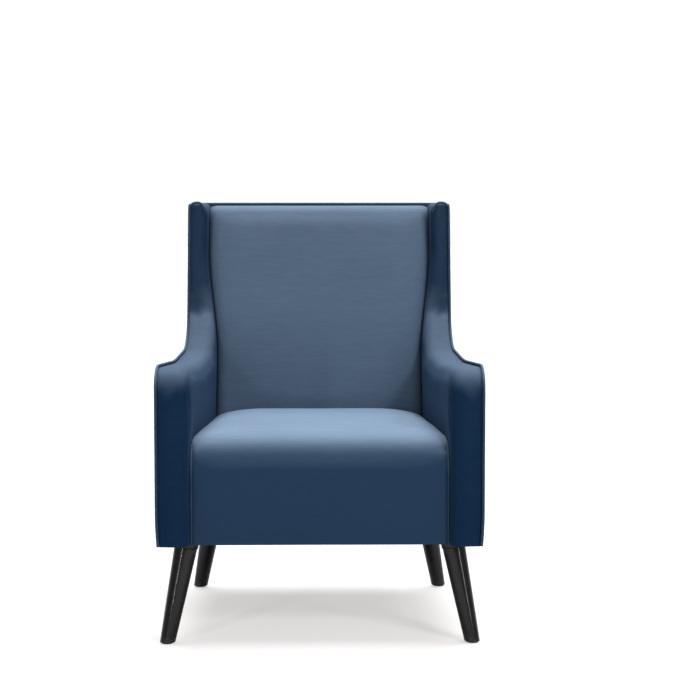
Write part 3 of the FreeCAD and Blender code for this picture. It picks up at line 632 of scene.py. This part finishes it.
def net(line, spacing=NET):
    """Points and faces of the even triangles that fill a closed flat line."""
    low, high = line.min(axis=0), line.max(axis=0)
    rows = np.arange(low[1], high[1], spacing * math.sqrt(3) / 2)
    spots = np.array([(x + k % 2 * spacing / 2, y) for k, y in enumerate(rows)
                      for x in np.arange(low[0], high[0], spacing)])
    spots = spots[inside(spots, line)]
    away = np.min(np.linalg.norm(spots[:, None] - line[None], axis=2), axis=1)
    flat = np.concatenate([line, spots[away > 0.6 * spacing]])
    rim = [(i, (i + 1) % len(line)) for i in range(len(line))]
    points, _, faces, *_ = geometry.delaunay_2d_cdt([Vector(p) for p in flat], rim, [], 1, 1e-9)
    return np.array([tuple(p) for p in points]), [list(face) for face in faces]


def netted(rings, axes, lift):
    """Closed shell through matching rings, with an even net over each end.

    Lift puts a net's flat points in place.
    """
    points, faces = stack_of_rings(rings)
    faces = faces[1:-1]
    for end in (0, -1):
        flat, triangles = net(rings[end][:, axes])
        faces += [[len(points) + i for i in triangle] for triangle in triangles]
        points = np.concatenate([points, lift(flat, end)])
    return points, faces


def face_outwards(piece, split_ends=False):
    """Turns every face outwards, and where asked splits the many-sided ends into triangles."""
    bm = bmesh.new()
    bm.from_mesh(piece.data)
    bmesh.ops.remove_doubles(bm, verts=bm.verts, dist=1e-6)
    bmesh.ops.recalc_face_normals(bm, faces=bm.faces)
    if split_ends:
        bmesh.ops.triangulate(bm, faces=[face for face in bm.faces if len(face.verts) > 8])
    bm.to_mesh(piece.data)
    bm.free()


def finish_modifiers(piece):
    """Turns the piece, as its modifiers leave it, into a plain mesh."""
    bpy.context.view_layer.update()
    made = bpy.data.meshes.new_from_object(piece.evaluated_get(bpy.context.evaluated_depsgraph_get()))
    old = piece.data
    piece.modifiers.clear()
    piece.data = made
    made.name = piece.name
    bpy.data.meshes.remove(old)
    made.shade_smooth()


def pair(right):
    """The piece with its side's name, and the same piece mirrored on the left with its own."""
    left = placed(right.name.replace("right", "left"), right.data.copy())
    left.data.name = left.name
    points = get_points(left.data)
    points[:, 0] *= -1
    set_points(left.data, points)
    left.data.flip_normals()
    return ("right", right), ("left", left)


# -------- padding
PRESSURE, PRESSURE_FRAMES = 4.0, 20
HELD = 1e-5  # a point that may move less than this is held still


def modified(piece, kind, **settings):
    """Keeps what one modifier makes of the piece."""
    change = piece.modifiers.new(kind.lower(), kind)
    for key, value in settings.items():
        setattr(change, key, value)
    finish_modifiers(piece)


def swell(piece, cap):
    """Blows the padding up with cloth pressure. Each point stays within cap, nothing where it is held."""
    start, outwards = get_points(piece.data), get_normals(piece.data)
    limit = cap(start)
    held = piece.vertex_groups.new(name="held")
    held.add([int(i) for i in np.flatnonzero(limit < HELD)], 1.0, "REPLACE")
    change = piece.modifiers.new("pressure", "CLOTH")
    cloth = change.settings
    cloth.quality, cloth.mass, cloth.vertex_group_mass = 5, 0.3, "held"
    cloth.use_pressure, cloth.uniform_pressure_force = True, PRESSURE
    cloth.tension_stiffness = cloth.compression_stiffness = 15
    cloth.bending_stiffness = 0.5
    cloth.effector_weights.gravity = 0
    change.collision_settings.use_collision = False
    change.point_cache.frame_start, change.point_cache.frame_end = 1, PRESSURE_FRAMES
    for number in range(1, PRESSURE_FRAMES + 1):
        scene.frame_set(number)
    moved = get_points(piece.evaluated_get(bpy.context.evaluated_depsgraph_get()).data)
    piece.modifiers.clear()
    piece.vertex_groups.clear()
    rise = np.clip(np.sum((moved - start) * outwards, axis=1), 0, limit)
    set_points(piece.data, start + outwards * rise[:, None])
    scene.frame_set(1)


def upholster(piece, cap):
    """Swells, softens and refines the padding: its points and their normals."""
    swell(piece, cap)
    modified(piece, "SMOOTH", factor=0.5, iterations=4)
    modified(piece, "SUBSURF", levels=1, render_levels=1)
    return get_points(piece.data), get_normals(piece.data)


def ripples(points, scale, seed):
    """Smooth noise from -1 to 1 at each point, with its own scale along each axis."""
    shift = Vector((seed * 7.31, seed * 3.17, seed * 5.53))
    return np.array([noise.noise(Vector(p) + shift) for p in points * np.array(scale)])


def declare(piece, replaced=()):
    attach(piece, "root")
    if replaced:
        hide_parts(*replaced)


# -------- arms and wings
EDGE, EDGE_STEPS = 0.027, 9  # rounding of an arm's inner edge
ARM_SEAM = [(-0.0002, COVER), (0.0014, 0.0032), (0.0020, 0.0055), (0.0014, 0.0100), (0.0005, 0.0160),
            (0.0, 0.0230), (0.0, 0.0300), (0.0, 0.0365)]
HEM_LOW, HEM_HIGH = 0.260, 0.380  # between these heights an arm's lower edge stops drawing in
INNER_CROWN, OUTER_CROWN = 0.0045, 0.0030
PANEL_EDGE = [(0.0022, COVER), (0.0004, 0.0012), (0.0010, -0.0002), (0.0030, -0.0014), (0.0070, -0.0024),
              (0.0140, -0.0031), (0.0260, -0.0036), (0.0480, -0.0038)]


def make_arms():
    """Inside cover of an arm and its wing in one piece, over its padding."""
    levels = list(ARM_SEAM)
    for k in range(EDGE_STEPS + 1):
        turn = k / EDGE_STEPS * math.pi / 2
        levels.append((EDGE * (1 - math.cos(turn)), ARM_THICKNESS - EDGE + EDGE * math.sin(turn)))
    rings = rings_of(SIDE_OUTLINE, levels)
    for line, (distance, _) in zip(rings, levels):
        line[:, 2] -= distance * (1 - ramp(line[:, 2], HEM_LOW, HEM_HIGH))
    points, faces = netted(rings, (0, 2), lambda flat, end: np.column_stack(
        [flat[:, 0], np.full(len(flat), levels[end][1]), flat[:, 1]]))
    arm = new_piece("right_arm_and_wing", points, faces, FINISHES["velvet"])
    face_outwards(arm)

    def cap(at):
        s, t, z = at.T
        seat_side = ramp(z, 0.420, 0.500)
        cushion_face = BACK_FACE_S + (z - SEAT_TOP) * BACK_FACE_SLOPE
        back_side = 1 - ramp(s, cushion_face - 0.030, cushion_face + 0.005)
        inner = ramp(t, 0.030, 0.066) * seat_side * back_side
        outer = ramp(t, 0.006, 0.030) * (1 - ramp(s, 0.600, 0.640))
        return INNER_CROWN * inner + OUTER_CROWN * outer * (1 - ramp(t, 0.060, 0.069))

    points, normals = upholster(arm, cap)
    s, t, z = points.T
    t_new = COVER + (t - COVER) * (thickness_at(z) - COVER) / (ARM_THICKNESS - COVER)
    near_cord = np.exp(-np.maximum(t - 0.004, 0) / 0.010) * ramp(t, 0.001, 0.006)
    pulls = ripples(points, (62, 8, 62), 1) * 0.00045 * near_cord
    soft = ripples(points, (9, 9, 9), 2) * 0.0008 * ramp(t, 0.006, 0.030)
    points[:, 1] = t_new
    points += normals * (pulls + soft)[:, None]
    lip = ramp(s, 0.040, 0.046) * (1 - ramp(s, 0.655, 0.665)) * ramp(t, 0.011, 0.014)
    points[:, 2] = np.where(z < BODY_BOTTOM + 0.006, points[:, 2] + 0.0045 * lip, points[:, 2])
    set_points(arm.data, side_to_world(points))
    arm.data.flip_normals()
    for side, piece in pair(arm):
        names = ("arm_cover", "arm_front_padding", "arm_rear_padding", "wing_padding")
        declare(piece, [f"{side}_{name}" for name in names])


def make_outside_panels():
    """Outside covers, stretched over their boards and turned in under the piping."""
    points, faces = stack_of_rings(rings_of(SIDE_OUTLINE, PANEL_EDGE))
    panel = new_piece("right_outside_panel", points, faces, FINISHES["panel"])
    face_outwards(panel, split_ends=True)
    at = get_points(panel.data)
    at[:, 1] += ripples(at, (40, 1, 40), 3) * 0.0003 * (at[:, 1] < -0.0010)
    set_points(panel.data, side_to_world(at))
    panel.data.flip_normals()
    for side, piece in pair(panel):
        declare(piece, [f"{side}_side_cover"])


# -------- seat and back
# shares of the half width from an arm inwards, finer near the arm
SIDE_STEPS = (0.0, 0.004, 0.010, 0.018, 0.028, 0.040, 0.056, 0.076, 0.100, 0.128, 0.160)
MIDDLE_STEPS = 48
RAIL_SPACE = 0.0355  # from the rear face to the back's foam, below the top rail
SEAT_RISE, FRONT_RISE, BACK_RISE = 0.006, 0.004, 0.007  # the most that each part swells


def prism(name, outline, finish):
    """A cushion's plain block: a profile of depths and heights, pushed across from arm to arm."""
    line = ring(outline)
    near = [-1 + step for step in SIDE_STEPS]
    middle = np.linspace(near[-1], -near[-1], MIDDLE_STEPS)[1:-1]
    shares = near + list(middle) + [-share for share in near[::-1]]
    half = inside_x(line[:, 0], line[:, 1], CUSHION_PLAY)
    rings = [np.column_stack([half * share, line]) for share in shares]
    points, faces = netted(rings, (1, 2), lambda flat, end: np.column_stack(
        [inside_x(flat[:, 0], flat[:, 1], CUSHION_PLAY) * (1 if end else -1), flat]))
    block = new_piece(name, points, faces, FINISHES[finish])
    face_outwards(block)
    return block


def free_of_arms(x, y, z):
    """1 along a cushion's middle, and 0 where the arms hold it."""
    return 1 - ramp(np.abs(x) / inside_x(y, z, CUSHION_PLAY), 0.955, 0.995)


def near_arm(x, half, reach):
    """0 along a cushion's middle, rising to 1 over the last reach before an arm."""
    return np.clip((np.abs(x) - (half - reach)) / reach, 0, 1)


def rounding(share, fullness):
    """Depth of a rounded edge: 0 where it starts, and nearly 1 at its end."""
    return 1 - np.sqrt(1 - fullness * share ** 2)


def kept_between_arms(points):
    """The points, none of them past the arms' inner faces."""
    limit = inside_x(points[:, 1], points[:, 2], CUSHION_PLAY)
    points[:, 0] = np.clip(points[:, 0], -limit, limit)
    return points


def make_seat():
    rail_side = SEAT_FRONT_Y + 0.0215
    low_rear = BACK_FACE_Y + (SEAT_DECK - SEAT_TOP) * BACK_FACE_SLOPE
    seat = prism("seat_cushion", [
        (SEAT_FRONT_Y, APRON_BOTTOM - 0.006, 0.004),
        (rail_side, APRON_BOTTOM - 0.006, 0.003),
        (rail_side, SEAT_DECK, 0.002),
        (low_rear + 0.004, SEAT_DECK, 0.004),
        (BACK_FACE_Y + 0.010, SEAT_TOP, 0.012),
        (SEAT_FRONT_Y, SEAT_TOP, SEAT_ROLL),
    ], "seat")

    def cap(at):
        x, y, z = at.T
        shown = ramp(z, 0.360, 0.380) * (1 - ramp(y, BACK_FACE_Y - 0.02, BACK_FACE_Y))
        front = 1 - ramp(y, SEAT_FRONT_Y + 0.006, SEAT_FRONT_Y + 0.016)
        front *= ramp(z, APRON_BOTTOM + 0.004, APRON_BOTTOM + 0.050)
        side = 1 - ramp(np.abs(x) / inside_x(y, z, CUSHION_PLAY), 0.955, 0.995)
        return np.maximum(SEAT_RISE * shown, FRONT_RISE * front) * free_of_arms(x, y, z)

    points, normals = upholster(seat, cap)
    x, y, z = points.T
    half = inside_x(y, z, CUSHION_PLAY)
    back = np.clip((y - SEAT_FRONT_Y) / (BACK_FACE_Y - SEAT_FRONT_Y), 0, 1)
    width, drop = 0.045 + 0.080 * back, 0.009 + 0.015 * back ** 1.3
    shoulder = drop * rounding(near_arm(x, half, width), 0.985) + 0.002 * (np.abs(x) / half) ** 2
    high = ramp(z, 0.380, SEAT_TOP - 0.006)
    points[:, 2] -= shoulder * high
    on_front = 1 - ramp(y, SEAT_FRONT_Y + 0.004, SEAT_FRONT_Y + 0.030)
    points[:, 1] += 0.0050 * near_arm(x, half, 0.016) ** 2 * on_front
    seam = np.exp(-(half - np.abs(x)) / 0.014) * on_front
    gather = np.exp(-(half - np.abs(x)) / 0.020) * ramp(z, 0.385, 0.415) * (1 - ramp(y, -0.300, -0.260))
    pulls = ripples(points, (6, 90, 90), 4) * (0.0005 * seam + 0.0012 * gather)
    soft = ripples(points, (7, 7, 9), 5) * 0.0011 * np.maximum(on_front, high)
    points += normals * (pulls + soft)[:, None]
    points = kept_between_arms(points)
    points[:, 2] = np.maximum(points[:, 2], APRON_BOTTOM)
    set_points(seat.data, points)
    declare(seat, ["seat_cover", "seat_foam"])


def make_back():
    low = SEAT_DECK + 0.002
    flat = math.cos(RECLINE)
    shelf = BODY_BOTTOM + 0.702 * flat + 0.067 * REAR_SLOPE

    def rear_y(z, depth):
        return FRONT_Y + rear_s(z) - depth / flat

    def face_y(z):
        return BACK_FACE_Y + (z - SEAT_TOP) * BACK_FACE_SLOPE

    top = BACK_TOP - 0.001
    back = prism("back_cushion", [
        (face_y(low), low, 0.004),
        (rear_y(low, RAIL_SPACE), low, 0.003),
        (rear_y(shelf, RAIL_SPACE), shelf, 0.002),
        (rear_y(shelf, 0.003), shelf, 0.002),
        (rear_y(top, 0.003), top, 0.012),
        (face_y(top), top, BACK_ROLL),
    ], "back")

    def cap(at):
        x, y, z = at.T
        out = face_y(z) + 0.050 - y
        shown = ramp(out, 0.0, 0.030) * ramp(z, 0.440, 0.490)
        return BACK_RISE * shown * free_of_arms(x, y, z) * (1 - 0.7 * ramp(z, 0.920, 0.950))

    points, normals = upholster(back, cap)
    x, y, z = points.T
    half = inside_x(y, z, CUSHION_PLAY)
    depth = y - face_y(z)
    fore = 1 - ramp(depth, 0.010, 0.060)
    points[:, 1] += 0.020 * rounding(near_arm(x, half, 0.030), 0.98) * fore
    crown = ramp(z, 0.880, 0.945)
    points[:, 2] -= crown * 0.006 * rounding(near_arm(x, half, 0.022), 0.97)
    seam = np.exp(-(half - np.abs(x)) / 0.016) * fore
    pulls = ripples(points, (6, 6, 70), 6) * 0.0006 * seam
    soft = ripples(points, (6, 6, 8), 7) * 0.0012 * fore * ramp(half - np.abs(x), 0.0, 0.050)
    points += normals * (pulls + soft)[:, None]
    set_points(back.data, kept_between_arms(points))
    declare(back, ["back_cover", "back_foam"])


REAR_HEIGHT = (WING_TOP - BODY_BOTTOM) / math.cos(RECLINE)
REAR_EDGE = [(0.0020, 0.0004), (0.0003, 0.0008), (0.0008, 0.0022), (0.0030, 0.0036), (0.0080, 0.0046),
             (0.0200, 0.0054), (0.0450, 0.0060), (0.0900, 0.0064), (0.1500, 0.0066)]


def rear_half(w):
    """Half the width of the rear, at a distance up it."""
    return HALF_WIDTH - rear_s(BODY_BOTTOM + w) * math.tan(SIDE_ANGLE)


def make_rear_panel():
    """Cover of the chair's rear, stretched from piping to piping."""
    gap = 0.0005
    low, high, top = rear_half(0) - gap, rear_half(REAR_HEIGHT) - gap, REAR_HEIGHT - gap
    outline = [(-low, gap, 0.004), (low, gap, 0.004), (high, top, 0.018), (-high, top, 0.018)]
    points, faces = stack_of_rings(rings_of(outline, REAR_EDGE, 0.014))
    panel = new_piece("rear_panel", points, faces, FINISHES["panel"])
    face_outwards(panel)
    at = get_points(panel.data)
    at[:, 1] += ripples(at, (30, 1, 30), 8) * 0.0004 * (at[:, 1] > 0.004)
    set_points(panel.data, rear_to_world(at))
    declare(panel, ["rear_cover"])


# -------- what follows a path
def path_tree(name, inputs, build):
    """A Geometry Nodes tree that turns a line into geometry, ending in Realize Instances and Set Material."""
    tree = bpy.data.node_groups.new(name, "GeometryNodeTree")
    new_socket(tree, "Line", "Geometry")
    for label, value in inputs:
        new_socket(tree, label, "Float").default_value = value
    new_socket(tree, "Finish", "Material")
    new_socket(tree, "Made", "Geometry", "OUTPUT")
    given, out = tree.nodes.new("NodeGroupInput"), tree.nodes.new("NodeGroupOutput")
    b = Bench(tree)
    line = b.add("GeometryNodeMeshToCurve", Mesh=given.outputs["Line"]).outputs["Curve"]
    made = build(b, line, given.outputs)
    real = b.add("GeometryNodeRealizeInstances", Geometry=made).outputs["Geometry"]
    smooth = b.add("GeometryNodeSetShadeSmooth", Geometry=real).outputs["Geometry"]
    finish = b.add("GeometryNodeSetMaterial", Geometry=smooth, Material=given.outputs["Finish"])
    b.put(finish.outputs["Geometry"], out.inputs["Made"])
    return tree


def build_piping(b, line, given):
    even = b.add("GeometryNodeResampleCurve", {"mode": "LENGTH"}, Curve=line, Length=given["Step"])
    circle = b.add("GeometryNodeCurvePrimitiveCircle", Resolution=14, Radius=given["Cord Radius"])
    cord = b.add("GeometryNodeCurveToMesh", Curve=even.outputs["Curve"],
                 Profile_Curve=circle.outputs["Curve"], Fill_Caps=True)
    at = b.add("GeometryNodeInputPosition").outputs["Position"]
    bumps = b.add("ShaderNodeTexNoise", Vector=at, Scale=given["Pucker Scale"], Detail=1.0).outputs["Fac"]
    amount = b.swing(bumps, given["Pucker"])
    normal = b.add("GeometryNodeInputNormal").outputs["Normal"]
    push = b.add("ShaderNodeVectorMath", {"operation": "SCALE"}, Vector=normal, Scale=amount)
    moved = b.add("GeometryNodeSetPosition", Geometry=cord.outputs["Mesh"], Offset=push.outputs["Vector"])
    return moved.outputs["Geometry"]


def build_rods(b, line, given):
    spots = b.add("GeometryNodeCurveToPoints", {"mode": "LENGTH"}, Curve=line, Length=given["Spacing"])
    rod = b.add("GeometryNodeMeshCylinder", Vertices=8, Radius=given["Rod Radius"], Depth=given["Rod Length"])
    turn = b.add("FunctionNodeAlignRotationToVector", {"axis": "Z"}, Vector=spots.outputs["Tangent"])
    placed = b.add("GeometryNodeInstanceOnPoints", Points=spots.outputs["Points"],
                   Instance=rod.outputs["Mesh"], Rotation=turn.outputs["Rotation"])
    return placed.outputs["Instances"]


PIPING_TREE = path_tree("piping", [("Cord Radius", CORD), ("Step", 0.0035), ("Pucker", 0.0006),
                                   ("Pucker Scale", 110.0)], build_piping)
ROD_TREE = path_tree("short_rods", [("Spacing", 0.006), ("Rod Length", 0.004),
                                    ("Rod Radius", 0.0005)], build_rods)


def along(name, lines, tree, finish, **sizes):
    """A piece made along one or more open lines by a Geometry Nodes tree."""
    points, edges = [], []
    for line in lines:
        edges += [(len(points) + i, len(points) + i + 1) for i in range(len(line) - 1)]
        points += [tuple(p) for p in line]
    mesh = bpy.data.meshes.new(name)
    mesh.from_pydata(points, edges, [])
    piece = placed(name, mesh)
    change = piece.modifiers.new("made_along", "NODES")
    change.node_group = tree
    sizes = {key.replace("_", " "): value for key, value in sizes.items()}
    sizes["Finish"] = finish
    for item in tree.interface.items_tree:
        if item.in_out == "INPUT" and item.name in sizes:
            change[item.identifier] = sizes[item.name]
    finish_modifiers(piece)
    return piece


def flip_x(line):
    return line * np.array((-1, 1, 1))


def make_piping():
    wing_top, wing_foot, middle, front = inset(SIDE_OUTLINE, -CORD_GAP)[3:]
    corners = [((front[0], COVER, BODY_BOTTOM + 0.002), 0)]
    corners += [((s, COVER, z), abs(radius)) for s, z, radius in (front, middle, wing_foot)]
    corners += [((wing_top[0], COVER, wing_top[1]), 0.017), ((wing_top[0], 0.030, wing_top[1]), 0.012),
                ((wing_top[0] + 0.004, 0.0405, wing_top[1] - 0.022), 0)]
    arm_line = side_to_world(path(corners))
    seat_x = inside_x(SEAT_FRONT_Y - 0.0029, 0.3, 0.001) - SEAT_CORD
    seat_line = path([((seat_x, SEAT_FRONT_Y - 0.0012, APRON_BOTTOM + 0.001), 0),
                      ((seat_x, SEAT_FRONT_Y - 0.0012, SEAT_TOP - SEAT_ROLL + 0.002), 0.12),
                      ((seat_x - 0.001, SEAT_FRONT_Y + 0.0200, SEAT_TOP - 0.020), 0)])
    for side, turn in (("right", lambda line: line), ("left", flip_x)):
        cord = along(f"{side}_arm_piping", [turn(arm_line)], PIPING_TREE, FINISHES["piping"])
        declare(cord, [f"{side}_arm_welt"])
        cord = along(f"{side}_seat_piping", [turn(seat_line)], PIPING_TREE, FINISHES["piping"],
                     Cord_Radius=SEAT_CORD, Pucker=0.0005)
        declare(cord, [f"{side}_seat_welt"])
        gathers = turn(seat_line[-7:] + np.array((-0.0035, -0.0010, 0)))
        stitches = along(f"{side}_seat_stitches", [gathers], ROD_TREE, THREAD,
                         Spacing=0.0055, Rod_Length=0.0032, Rod_Radius=0.0005)
        declare(stitches)
    foot, top, out = 0.003, REAR_HEIGHT - 0.001, 0.0034
    low, high = rear_half(foot) + 0.0008, rear_half(top) + 0.0008
    rear = path([((-low, out, foot), 0), ((-high, out, top), 0.020),
                 ((high, out, top), 0.020), ((low, out, foot), 0)])
    cord = along("rear_piping", [rear_to_world(rear)], PIPING_TREE, FINISHES["piping"])
    declare(cord, ["rear_welt"])


# -------- legs
LEG_TOP_RADIUS, LEG_FOOT_RADIUS = 0.027, 0.0165
COLLAR, GROOVE = 0.014, 0.0006
NECK_RADIUS = LEG_TOP_RADIUS - 0.0016
TAPER_STEPS, LEG_SIDES = 24, 72
GLIDE_HEIGHT = 0.003
LEG_TOP_Z = BODY_BOTTOM
FRONT_LEG = ((0.335, 0.044), (0.2925, 0.073))
REAR_LEG = ((0.2985, 0.667), (0.258, 0.642))


def make_leg(name, leg):
    """A turned, tapered leg with a collar, a softened foot and level ends."""
    foot = Vector((leg[0][0], FRONT_Y + leg[0][1], 0))
    top = Vector((leg[1][0], FRONT_Y + leg[1][1], LEG_TOP_Z))
    axis = top - foot
    length = axis.length
    turn = axis.to_track_quat("Z", "Y")
    spare, collar = 0.02, length - COLLAR
    rise = collar - GROOVE
    profile = [(LEG_FOOT_RADIUS, -spare), (LEG_FOOT_RADIUS, 0)]
    for k in range(1, TAPER_STEPS + 1):
        share = k / TAPER_STEPS
        profile.append((LEG_FOOT_RADIUS + (NECK_RADIUS - LEG_FOOT_RADIUS) * share, rise * share - 0.0012))
    profile += [(NECK_RADIUS, rise), (NECK_RADIUS - GROOVE, collar - 0.0002),
                (NECK_RADIUS - GROOVE, collar + 0.0002), (LEG_TOP_RADIUS - 0.0014, collar + 0.0007),
                (LEG_TOP_RADIUS - 0.0006, collar + 0.0018), (LEG_TOP_RADIUS, collar + 0.0050),
                (LEG_TOP_RADIUS, length + spare)]
    angles = [2 * math.pi * k / LEG_SIDES for k in range(LEG_SIDES)]
    rings = [np.array([tuple(foot + turn @ Vector((radius * math.cos(a), radius * math.sin(a), up)))
                       for a in angles]) for radius, up in profile]
    points, faces = stack_of_rings(rings)
    piece = new_piece(name, points, faces, FINISHES["leg_lacquer"])
    bm = bmesh.new()
    bm.from_mesh(piece.data)
    for height, up in ((GLIDE_HEIGHT, -1), (LEG_TOP_Z, 1)):
        everything = bm.verts[:] + bm.edges[:] + bm.faces[:]
        cut = bmesh.ops.bisect_plane(bm, geom=everything, plane_co=(0, 0, height), plane_no=(0, 0, up),
                                     clear_outer=True)["geom_cut"]
        rim = [e for e in cut if isinstance(e, bmesh.types.BMEdge)]
        face = bmesh.ops.contextual_create(bm, geom=rim)["faces"]
        if up < 0:
            bmesh.ops.bevel(bm, geom=[e for f in face for e in f.edges], offset=0.0022, segments=4,
                            profile=0.5, affect="EDGES")
    bmesh.ops.recalc_face_normals(bm, faces=bm.faces)
    bm.to_mesh(piece.data)
    bm.free()
    piece.data.shade_smooth()
    piece.data.set_sharp_from_angle(angle=math.radians(50))
    return piece


def make_legs():
    for end, leg in (("front", FRONT_LEG), ("rear", REAR_LEG)):
        for side, piece in pair(make_leg(f"{end}_right_turned_leg", leg)):
            declare(piece, [f"{end}_{side}_leg"])


# -------- underside
CLOTH_ACROSS, CLOTH_BACK = 36, 40
CLOTH_THICKNESS, CLOTH_SAG, CLOTH_PULL = 0.0008, 0.0045, 0.0004
PULLS = 20  # how closely the pulls at the staples follow each other
STAPLE_INSET = 0.006


def make_underside():
    """Black cloth under the frame, drawn tight between its staples, and the staples."""
    low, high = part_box("bottom_cloth")
    front_half = high.x
    rear_half_width = HALF_WIDTH - (high.y - FRONT_Y) * math.tan(SIDE_ANGLE) - 0.010
    j, i = np.mgrid[0:CLOTH_BACK + 1, 0:CLOTH_ACROSS + 1]
    u, v = 2 * i / CLOTH_ACROSS - 1, 2 * j / CLOTH_BACK - 1
    half = front_half + (rear_half_width - front_half) * j / CLOTH_BACK
    sag = CLOTH_SAG * ((1 - u ** 4) * (1 - v ** 4)) ** 2
    pull = CLOTH_PULL * (np.cos(PULLS * u) * np.abs(v) ** 6 + np.cos(PULLS * v) * np.abs(u) ** 6)
    y = low.y + (high.y - low.y) * j / CLOTH_BACK
    layer = np.stack([half * u, y, low.z + 0.0001 - sag + pull], axis=2).reshape(-1, 3)
    layers = np.concatenate([layer, layer + (0, 0, CLOTH_THICKNESS)])
    row, sheet_size = CLOTH_ACROSS + 1, len(layer)
    faces = []
    for a in (j * row + i)[:-1, :-1].ravel():
        faces.append((a, a + row, a + row + 1, a + 1))
        faces.append(tuple(sheet_size + v for v in (a, a + 1, a + row + 1, a + row)))
    rim = list(range(row)) + [j * row + CLOTH_ACROSS for j in range(1, CLOTH_BACK + 1)]
    rim += [CLOTH_BACK * row + i for i in range(CLOTH_ACROSS - 1, -1, -1)]
    rim += [j * row for j in range(CLOTH_BACK - 1, 0, -1)]
    for a, b in zip(rim, rim[1:] + rim[:1]):
        faces.append((a, b, b + sheet_size, a + sheet_size))
    cloth = new_piece("dust_cloth", layers, faces, FINISHES["black_cloth"])
    face_outwards(cloth)
    declare(cloth, ["bottom_cloth"])
    width, length = 2 * front_half, high.y - low.y
    z = low.z - 0.0004
    rows = [[(-0.215, low.y + STAPLE_INSET, z), (0.215, low.y + STAPLE_INSET, z)],
            [(-0.190, high.y - STAPLE_INSET, z), (0.190, high.y - STAPLE_INSET, z)]]
    for way in (-1, 1):
        rows.append([(way * (front_half + (rear_half_width - front_half) * share - STAPLE_INSET),
                      low.y + length * share, z) for share in (0.17, 0.86)])
    lines = [path([(p, 0) for p in ends], step=0.01) for ends in rows]
    staples = along("cloth_staples", lines, ROD_TREE, FINISHES["plated_steel"],
                    Spacing=0.046, Rod_Length=0.010, Rod_Radius=0.0006)
    declare(staples, ["staples"])


def finish_frame_parts():
    """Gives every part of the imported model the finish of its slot."""
    for row in frame["record"]["subparts"]:
        node = frame["nodes"].get(row["node"])
        if node is not None:
            node.data.materials.clear()
            node.data.materials.append(FINISHES[row["material_slot"]])


make_camera()
make_studio()
finish_frame_parts()
make_legs()
make_arms()
make_outside_panels()
make_seat()
make_back()
make_rear_panel()
make_piping()
make_underside()
